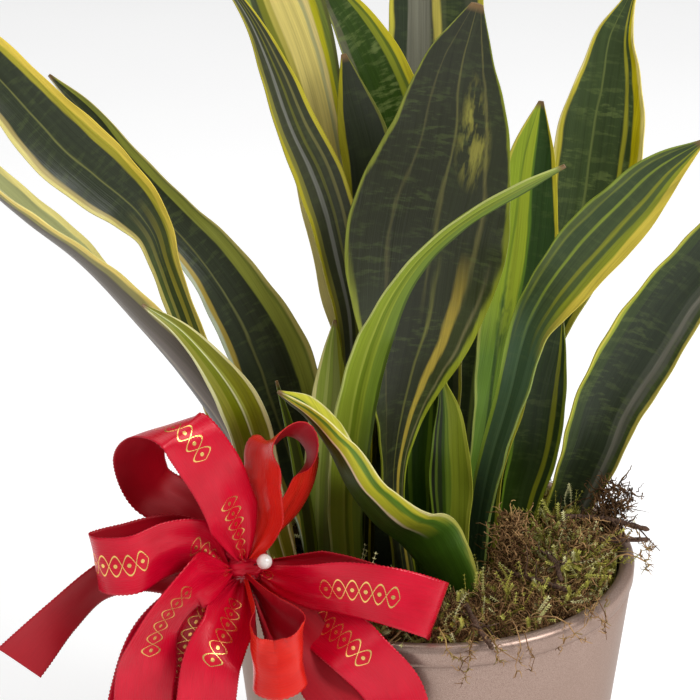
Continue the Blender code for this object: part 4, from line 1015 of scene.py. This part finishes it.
class Strands:
    """Gathers thin tubes and small leaflets into one mesh, round a solid body of one shade."""

    def __init__(self, body, shade):
        rings, around = body.shape[:2]
        self.count = rings * around
        self.points = [body.reshape(-1, 3)]
        self.faces = ring_faces(rings, around)
        self.strand = [np.full((self.count, 3), shade)]

    def add(self, points, faces, strand):
        self.points.append(points.reshape(-1, 3))
        self.strand.append(strand.reshape(-1, 3))
        self.faces.extend(map(tuple, (faces.reshape(-1, faces.shape[-1]) + self.count).tolist()))
        self.count += points.size // 3

    def tubes(self, paths, radius, shades, sides=3):
        """Tubes along many paths at once. The paths are (number, steps, 3), the shades one for each."""
        number, steps = paths.shape[:2]
        along = unit(np.gradient(paths, axis=1))
        first, offsets = circle_round(along, sides)
        taper = np.linspace(1.0, 0.35, steps)[None, :, None, None]
        size = np.broadcast_to(radius, (number,))[:, None, None, None] * taper
        points = paths[:, :, None] + offsets * size
        index = np.arange(number * steps * sides).reshape(number, steps, sides)
        after = np.roll(index, -1, axis=2)
        quads = np.stack([index[:, :-1], after[:, :-1], after[:, 1:], index[:, 1:]], axis=-1)
        share = np.broadcast_to(np.linspace(0.0, 1.0, steps)[None, :, None], (number, steps, sides))
        shade = np.broadcast_to(shades[:, None, None], (number, steps, sides))
        self.add(points, quads, np.stack([shade, share, share], axis=-1))
        return along, first

    def leaflets(self, paths, along, side, length, width, shades):
        """Four small pointed leaflets at every point of every path."""
        other = np.cross(along, side)
        for direction in (side, -side, other, -other):
            reach = unit(along * 0.8 + direction) * length
            base = paths
            tip = paths + reach
            middle = paths + reach * 0.45
            out = unit(np.cross(along, direction)) * width / 2
            points = np.stack([base, middle - out, tip, middle + out], axis=2)
            number, steps = paths.shape[:2]
            faces = np.arange(number * steps * 4).reshape(number * steps, 4)
            shade = np.broadcast_to(shades[:, None, None], (number, steps, 4))
            share = np.broadcast_to(np.linspace(0.35, 1.0, steps)[None, :, None], (number, steps, 4))
            self.add(points, faces, np.stack([shade, share, share], axis=-1))

    def piece(self, name, look, slot, replaced=()):
        points = np.concatenate(self.points)
        strand = np.concatenate(self.strand)
        return new_piece(name, points, self.faces, look, replaced, {"strand": strand})


def curls(random, roots, heading, length, steps, curl):
    """Bent paths from many roots: each sets off in its heading and curls as it goes."""
    number = len(roots)
    t = np.linspace(0.0, 1.0, steps)[None, :, None]
    length = np.broadcast_to(length, (number,))[:, None, None]
    bend = random.normal(0.0, curl, (number, 1, 3))
    twist = random.normal(0.0, curl * 0.5, (number, 1, 3))
    return roots[:, None] + length * (heading[:, None] * t + bend * t**2 + twist * np.sin(t * 7) * 0.3)


def tangles(random, roots, stride, steps, stiffness):
    """Paths that wander from many roots, each step leaning on the one before."""
    number = len(roots)
    heading = unit(random.normal(0.0, 1.0, (number, 3)))
    paths = [roots]
    for _ in range(steps - 1):
        heading = unit(heading * stiffness + random.normal(0.0, 1.0, (number, 3)) * (1 - stiffness))
        paths.append(paths[-1] + heading * stride[:, None])
    return np.stack(paths, axis=1)


def mound(name, random):
    """The points of a clump's lumpy body and where its top is at a place in the ring."""
    first, last, inner, height = MOSS_CLUMPS[name]
    angles = np.radians(np.linspace(first, last, max(8, round((last - first) / 1.5))))
    shares = np.linspace(0.0, 1.0, 14)
    crown = np.interp(shares, np.linspace(0.0, 1.0, len(MOSS_CROWN)), MOSS_CROWN)
    lumps = random.uniform(0.62, 0.86, (len(angles), len(shares)))
    lumps[[0, -1]] *= 0.9
    radius = inner + (MOSS_OUTER_RADIUS - inner) * shares
    top = polar(angles[:, None], radius, SOIL_TOP + GAP + height * crown * lumps)
    outer_foot = top[:, -1:] * (1, 1, 0) + (0, 0, SOIL_TOP + GAP)
    inner_foot = top[:, :1] * (1, 1, 0) + (0, 0, SOIL_TOP + GAP)
    return np.concatenate([top, outer_foot, inner_foot], axis=1)


def build_moss_clump(name, random, look):
    first, last, inner, height = MOSS_CLUMPS[name]
    green = MOSS_GREEN[name]
    strands = Strands(mound(name, random), 0.2)
    area = math.radians(last - first) * (MOSS_OUTER_RADIUS**2 - inner**2) / 2
    shades_of = {"fibre": (0.05, 0.48), "frond": (0.62, 1.0)}
    for kind, density in (("fibre", FIBRES_PER_AREA * (1.2 - green)), ("frond", FRONDS_PER_AREA * green)):
        number = round(area * density)
        share = random.uniform(0.02, 1.0, number)
        angle = np.radians(random.uniform(first, last, number))
        radius = np.sqrt(inner**2 + (MOSS_OUTER_RADIUS**2 - inner**2) * share)
        thicket = np.sin(angle * 31 + radius * 190) + np.sin(angle * 17 - radius * 260)
        keep = thicket < 0.9 if kind == "fibre" else thicket > -0.7
        angle, radius = angle[keep], radius[keep]
        number = len(angle)
        place = np.clip((radius - inner) / (MOSS_OUTER_RADIUS - inner), 0, 1)
        rise = height * (0.45 + 0.30 * np.sin(math.pi * place))
        rise += random.uniform(0.0, 0.006 if kind == "fibre" else 0.002, number)
        roots = polar(angle, radius, SOIL_TOP + GAP + rise)
        heading = random.normal(0.0, 0.75, (number, 3))
        heading[:, 2] = np.abs(heading[:, 2]) * 0.5 + (0.08 if kind == "fibre" else 0.45)
        low, high = shades_of[kind]
        shades = random.uniform(low, high, number)
        if kind == "fibre":
            paths = tangles(random, roots, random.uniform(0.0007, 0.0015, number), 13, 0.7)
            low = roots[:, None, 2] - 0.001
            paths[..., 2] = low + np.abs(paths[..., 2] - low) * 0.9
            paths = inside_ring(paths)
            strands.tubes(paths, random.uniform(0.0002, 0.00055, number), shades)
        else:
            paths = curls(random, roots, unit(heading), random.uniform(0.008, 0.016, number), 18, 0.35)
            paths = inside_ring(paths)
            along, side = strands.tubes(paths, 0.00025, shades)
            strands.leaflets(paths, along, side, 0.0015, 0.0007, shades)
    if name in OVERHANGS:
        add_overhang(strands, random, *OVERHANGS[name])
    for at, spread, height, number, low, high in TUFTS.get(name, ()):
        add_tuft(strands, random, at, spread, height, number, low, high)
    strands.piece(name + "_tufts", look, "moss", (name,))


def inside_ring(paths):
    """Keeps strands that are still below the rim away from the pot's wall."""
    radius = np.hypot(paths[..., 0], paths[..., 1])
    limit = np.where(paths[..., 2] < POT_HEIGHT + 0.002, MOSS_OUTER_RADIUS + 0.001, MOSS_REACH)
    pull = np.minimum(1.0, limit / np.maximum(radius, 1e-6))
    return paths * np.stack([pull, pull, np.ones_like(pull)], axis=-1)


def add_overhang(strands, random, first, last, number, drop):
    """Fibres that come out of a clump, bend over the pot's rim and hang down outside it."""
    angle = np.radians(random.uniform(first, last, number))
    lean = random.normal(0.0, 0.10, number)
    fall = random.uniform(0.3, 1.0, number) * drop
    out = 0.5 + 0.5 * random.uniform(0.0, 1.0, number)
    stages = [
        (0.080, 0.000, 0.0), (0.084, 0.003, 0.1), (0.088, 0.006, 0.2), (0.092, 0.007, 0.3),
        (0.0955, 0.004, 0.5), (0.0975, -0.1, 0.6), (0.0985, -0.3, 0.8), (0.0985, -0.6, 1.0),
        (0.099, -0.8, 1.2), (0.099, -1.0, 1.3),
    ]
    route = []
    for radius, rise, sweep in stages:
        swung = angle + lean * sweep
        height = POT_HEIGHT + np.where(rise < 0, fall * rise, rise * out)
        wide = radius + 0.0015 * out * (sweep > 0.3)
        route.append(polar(swung, wide, height))
    paths = np.stack(route, axis=1)
    drift = np.cumsum(random.normal(0.0, 0.0007, paths[:, 2:].shape), axis=1)
    paths[:, 2:] += drift
    strands.tubes(paths, random.uniform(0.0003, 0.0006, number), random.uniform(0.2, 0.5, number))
    shreds = paths[:, 3:].reshape(-1, 3)
    shreds = shreds[random.uniform(0.0, 1.0, len(shreds)) < 0.7]
    tufts = np.repeat(shreds, 3, axis=0)
    twists = tangles(random, tufts, random.uniform(0.0003, 0.0007, len(tufts)), 9, 0.75)
    away = np.maximum(1.0, 0.0975 / np.hypot(twists[..., 0], twists[..., 1]))
    twists[..., :2] *= away[..., None]
    strands.tubes(twists, random.uniform(0.0002, 0.0004, len(tufts)), random.uniform(0.2, 0.55, len(tufts)))


def add_tuft(strands, random, at, spread, height, number, low, high):
    """A matted bunch of fibres that stands up out of a clump."""
    roots = np.array(at) + random.normal(0.0, 1.0, (number, 3)) * (spread, spread, 0.0)
    roots[:, 2] += random.uniform(0.0, 1.0, number) ** 1.5 * height
    paths = tangles(random, roots, random.uniform(0.0005, 0.0011, number), 12, 0.7)
    strands.tubes(paths, random.uniform(0.0002, 0.0006, number), random.uniform(low, high, number))


def build_moss():
    look = moss_look()
    random = np.random.default_rng(7)
    for name in MOSS_CLUMPS:
        build_moss_clump(name, random, look)


def build_crumbs():
    """Loose crumbs and bits of bark on top of the soil."""
    random = np.random.default_rng(3)
    number = CRUMBS
    angle = random.uniform(0.0, 2 * math.pi, number)
    radius = SOIL_RADIUS * 0.985 * np.sqrt(random.uniform(0.0, 1.0, number))
    size = random.uniform(0.0008, 0.0030, number)[:, None]
    centre = polar(angle, radius, SOIL_TOP)
    centre[:, 2] += size[:, 0] * 0.45 + GAP
    pull = np.minimum(1.0, (SOIL_RADIUS - size[:, 0]) / np.maximum(radius, 1e-6))
    centre[:, :2] *= pull[:, None]
    corners = np.array([(x, y, z) for x in (-1, 1) for y in (-1, 1) for z in (-1, 1)]) * (0.5, 0.5, 0.4)
    corners = corners[None] * random.uniform(0.5, 1.0, (number, 8, 3))
    turn = random.uniform(0.0, 2 * math.pi, number)[:, None]
    x = corners[..., 0] * np.cos(turn) - corners[..., 1] * np.sin(turn)
    y = corners[..., 0] * np.sin(turn) + corners[..., 1] * np.cos(turn)
    points = centre[:, None] + np.stack([x, y, corners[..., 2]], axis=-1) * size[:, None]
    sides = np.array([(0, 1, 3, 2), (4, 6, 7, 5), (0, 4, 5, 1), (2, 3, 7, 6), (0, 2, 6, 4), (1, 5, 7, 3)])
    faces = (sides[None] + 8 * np.arange(number)[:, None, None]).reshape(-1, 4)
    faces = [tuple(face) for face in faces.tolist()]
    new_piece("soil_crumbs", points.reshape(-1, 3), faces, soil_look())


def build_twigs():
    """Knobbly twigs, each with a few finer side shoots."""
    look = bark_look()
    random = np.random.default_rng(11)
    rings, shoots = 60, 7
    for name, stations in TWIGS.items():
        route = smooth_path([(x, y, SOIL_TOP + rise) for x, y, rise in stations], rings)
        knobs = 1 + 0.10 * np.sin(np.linspace(0, 40, rings)) + random.uniform(-0.12, 0.12, rings)
        taper = np.minimum(1.0, np.minimum(np.linspace(0.45, 16, rings), np.linspace(16, 0.35, rings)))
        _, offsets = circle_round(unit(np.gradient(route, axis=0)), 10)
        reach = 0.95 * TWIG_RADIUS * knobs * taper
        strands = Strands(route[:, None] + offsets * reach[:, None, None], 0.0)
        starts = route[random.integers(8, rings - 4, shoots)]
        heading = random.normal(0.0, 1.0, (shoots, 3)) * (1.0, 1.0, 0.5) + (0.0, 0.0, 0.35)
        paths = curls(random, starts, unit(heading), random.uniform(0.004, 0.011, shoots), 7, 0.45)
        strands.tubes(paths, random.uniform(0.0003, 0.0006, shoots), np.zeros(shoots), 5)
        strands.piece(name + "_bark", look, "bark", (name,))


def on_knot(direction, off):
    """The point where a direction from the knot's centre leaves its surface, and this far beyond."""
    direction = unit(np.array(direction, float))
    reach = 1 / np.linalg.norm(direction / (KNOT_SIZE / 2))
    return direction * (reach + off)


def build_ribbon(number, name, rows, both_ends, look):
    """A satin band that is pleated where it leaves the knot, with tiny loops of thread along its edges."""
    table = np.array(rows, float)
    table[0, :3] = on_knot(table[0, :3], ROOT_GAP)
    if both_ends:
        table[-1, :3] = on_knot(table[-1, :3], ROOT_GAP)
    length = walked(smooth_path(table, 200))[-1]
    count = round(length / RIBBON_STEP)
    path = smooth_path(table, count)
    centre = path[:, :3] + KNOT_CENTRE
    along = unit(np.gradient(path[:, :3], axis=0))
    across = path[:, 3:6]
    across = unit(across - (across * along).sum(axis=1, keepdims=True) * along)
    normal = np.cross(along, across)
    at = walked(path)
    room = np.minimum(at, at[-1] - at) if both_ends else at
    share = np.clip(room / GATHER_LENGTH, 0.0, 1.0)
    width = ROOT_WIDTH + (RIBBON_WIDTH - ROOT_WIDTH) * share**0.8
    s = np.linspace(-1.0, 1.0, RIBBON_ACROSS)[None, :]
    picot = PICOT_HEIGHT * np.abs(np.sin(math.pi * at / PICOT_PITCH))
    half = (width / 2)[:, None] + picot[:, None] * (np.abs(s) > 0.999)
    fade = np.exp(-room / 0.020)[:, None]
    pleats = PLEAT_DEPTH * fade * np.sin(s * 7.5 + number)
    pleats += PLEAT_DEPTH / 2 * np.exp(-room / 0.05)[:, None] * np.sin(s * 4 + number)
    swell = 0.0005 * np.sin(at / 0.019 + number)[:, None] * s + 0.0004 * share[:, None] * (s**2 - 0.4)
    rise = (pleats + swell)[..., None]
    middle = centre[:, None] + across[:, None] * (half * s)[..., None] + normal[:, None] * rise
    skin = normal[:, None] * RIBBON_SKIN / 2
    rings = np.concatenate([middle + skin, (middle - skin)[:, ::-1]], axis=1)
    flat_x = s * RIBBON_WIDTH / 2 * np.ones((count, 1))
    flat_y = at[:, None] * np.ones((1, RIBBON_ACROSS)) + 0.01 * number
    outside = outward(middle, normal)
    front = np.stack([flat_x, flat_y, np.full_like(flat_x, 1 - outside)], axis=-1)
    back = np.stack([flat_x[:, ::-1], flat_y, np.full_like(flat_x, outside)], axis=-1)
    bands = np.concatenate([front, back], axis=1)
    piece = new_piece(
        name + "_satin", rings, ring_faces(count, 2 * RIBBON_ACROSS), look,
        (name,), {"band": bands},
    )


def outward(middle, normal):
    """1.0 if the normals point away from the middle of the band's own loop, else 0.0."""
    spread = middle.mean(axis=1) - middle.mean(axis=(0, 1))
    return 1.0 if (spread * normal).sum() > 0 else 0.0


def build_bow():
    printed = satin_look("red_satin_printed", "c40024", "da0e32", True)
    plain = satin_look("red_satin_plain", "c40024", "da0e32", False)
    # Painted warm light: an orange-red copy of the plain satin, for the loops that catch it.
    warm_lit_satin = satin_look("red_satin_painted_warm_light", "d41a12", "e83020", False)
    for number, (name, rows) in enumerate(LOOPS.items()):
        build_ribbon(number, name, rows, True, warm_lit_satin if name in PAINTED_WARM_LIGHT_LOOPS else printed)
    for number, (name, rows) in enumerate(TAILS.items()):
        build_ribbon(number + 7, name, rows, False, printed)
    build_heart(plain)
    build_knot(plain)


def build_heart(look):
    """The crumpled turns of ribbon behind the knot, where all the loops and tails come together."""
    count, around = 24, 120
    share = np.linspace(0.04, 1.0, count)[:, None]
    angle = np.linspace(0.0, 2 * math.pi, around, endpoint=False)[None, :]
    folds = HEART_DEPTH * 0.3 * share * np.sin(9 * angle + 2 * share)
    reach = HEART_RADIUS * share * (0.86 + 0.14 * np.sin(5 * angle + 1))
    x = KNOT_CENTRE[0] + reach * np.cos(angle)
    z = KNOT_CENTRE[2] + reach * np.sin(angle)
    front = np.stack([x, KNOT_CENTRE[1] + HEART_DEPTH * (0.5 * share**2 - 0.1) + folds, z], axis=-1)
    back = front[::-1] + (0.0, HEART_DEPTH * 0.4, 0.0)
    rings = np.concatenate([front, back])
    bands = np.stack([reach + 0 * x, 0.012 * angle + 0 * x, 0 * x], axis=-1)
    bands = np.concatenate([bands, bands[::-1]])
    new_piece(
        "bow_heart_satin", rings, ring_faces(2 * count, around), look,
        (), {"band": bands},
    )


def build_knot(look):
    """The wrap round the bow's waist, drawn into pleats from side to side."""
    count, around = 60, 96
    x = np.linspace(-1.0, 1.0, count)
    angle = np.linspace(0.0, 2 * math.pi, around, endpoint=False)
    swell = np.maximum(0.02, 1 - np.abs(x) ** 3.2) ** 0.55
    pleats = 1 - 0.10 * (0.5 + 0.5 * np.sin(7 * angle[None, :] + 1.4 * x[:, None])) ** 2
    reach = swell[:, None] * pleats * 0.99
    points = np.stack(
        [
            KNOT_CENTRE[0] + KNOT_SIZE[0] / 2 * x[:, None] * np.ones((1, around)),
            KNOT_CENTRE[1] + KNOT_SIZE[1] / 2 * reach * np.cos(angle),
            KNOT_CENTRE[2] + KNOT_SIZE[2] / 2 * reach * np.sin(angle),
        ],
        axis=-1,
    )
    bands = np.stack([0.008 * angle + 0 * reach, 0.0085 * x[:, None] + 0 * reach, 0 * reach], axis=-1)
    new_piece(
        "knot_satin", points, ring_faces(count, around), look,
        ("knot",), {"band": bands},
    )


def build_pearl_and_pin():
    towards = unit(PEARL_DIRECTION)
    turn = Vector(-towards).to_track_quat("Z", "Y").to_matrix()
    place = KNOT_CENTRE + on_knot(PEARL_DIRECTION, GAP + PIN_LENGTH + PEARL_RADIUS)

    def set_out(points):
        return [Vector(place) + turn @ Vector(p) for p in points]

    hole = PEARL_RADIUS * math.sin(math.radians(83))
    rounded = [(0.0, -PEARL_RADIUS)] + arc(0.0, 0.0, PEARL_RADIUS, -87, 80, 40)
    collar = [(0.0009, hole), (0.0007, hole - 0.0002), (0.0, hole - 0.0002)]
    points, faces = turned(rounded + collar, 64)
    pearl = new_piece("pearl_bead", set_out(points), faces, pearl_look(), ("pearl_pin",))
    pearl.data.set_sharp_from_angle(angle=math.radians(60))
    end = PEARL_RADIUS + PIN_LENGTH
    shaft = [(0.0, hole), (PIN_RADIUS, hole)] + line((PIN_RADIUS, hole), (PIN_RADIUS, end), 6)[1:]
    points, faces = turned(shaft + [(PIN_RADIUS, end), (0.0, end)], 24)
    new_piece("pearl_shaft", set_out(points), faces, steel_look(), ("pearl_pin",))


def build_pick():
    """The wooden pick that holds the bow, a little uneven along its length."""
    low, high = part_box("bow_pick")
    low, high = np.array(low), np.array(high)
    top = np.array((low[0] + PICK_RADIUS, low[1] + PICK_RADIUS, high[2] - PICK_RADIUS / 2))
    foot = np.array((high[0] - PICK_RADIUS, high[1] - PICK_RADIUS, low[2] + PICK_RADIUS))
    shares = np.linspace(0.0, 1.0, 40)[:, None]
    route = top + (foot - top) * shares
    along = unit(foot - top)
    first = unit(np.cross(along, (0.0, 0.0, 1.0)))
    second = np.cross(along, first)
    angles = np.arange(16) * 2 * math.pi / 16
    reach = PICK_RADIUS * (0.9 + 0.06 * np.sin(shares * 23)) * np.minimum(1.0, 0.3 + 12 * (1 - shares))
    offsets = first * np.cos(angles)[:, None] + second * np.sin(angles)[:, None]
    points = route[:, None] + offsets[None] * reach[:, None]
    new_piece("bow_pick_stick", points, ring_faces(40, 16), wood_look(), ("bow_pick",))


def dress_carried_nodes():
    """The grower's pot and the soil keep their CAD shapes and get finished materials."""
    for name, look in (("growers_pot", plastic_look()), ("potting_soil", soil_look())):
        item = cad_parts[name]
        item.data.materials.clear()
        item.data.materials.append(look)


def build_stage():
    bpy.ops.mesh.primitive_plane_add(size=12.0)
    floor = bpy.context.object
    floor.name = "floor"
    floor.data.materials.append(floor_look())


def lamp(name, place, target, size, power):
    light = bpy.data.lights.new(name, "AREA")
    light.size = size
    light.energy = power
    item = bpy.data.objects.new(name, light)
    item.location = place
    item.rotation_mode = "QUATERNION"
    item.rotation_quaternion = (Vector(target) - Vector(place)).to_track_quat("-Z", "Y")
    bpy.context.scene.collection.objects.link(item)


def light_scene():
    scene = bpy.context.scene
    scene.view_settings.view_transform = "Standard"
    scene.world = bpy.data.worlds.new("studio")
    scene.world.use_nodes = True
    background = scene.world.node_tree.nodes["Background"]
    background.inputs["Color"].default_value = (1.0, 1.0, 1.0, 1.0)
    background.inputs["Strength"].default_value = 0.42
    middle = (0.0, 0.0, 0.25)
    lamp("key", (1.35, -0.85, 1.45), middle, 0.7, 22.0)
    lamp("fill", (-1.0, -1.3, 1.0), middle, 1.0, 4.0)
    lamp("top", (0.0, 0.5, 1.8), middle, 1.2, 9.0)


def build_camera():
    camera = bpy.data.cameras.new("camera")
    camera.lens = 130
    camera.sensor_width = 36
    camera.clip_end = 50
    item = bpy.data.objects.new("camera", camera)
    item.location = (-0.0372, -1.0486, 0.7175)
    item.rotation_euler = (math.radians(67.1), 0.0, 0.0)
    bpy.context.scene.collection.objects.link(item)
    bpy.context.scene.camera = item


build_camera()
build_stage()
light_scene()
dress_carried_nodes()
build_pot()
build_crumbs()
build_moss()
build_twigs()
for number, name in enumerate(LEAVES):
    build_leaf(number, name)
build_bow()
build_pearl_and_pin()
build_pick()
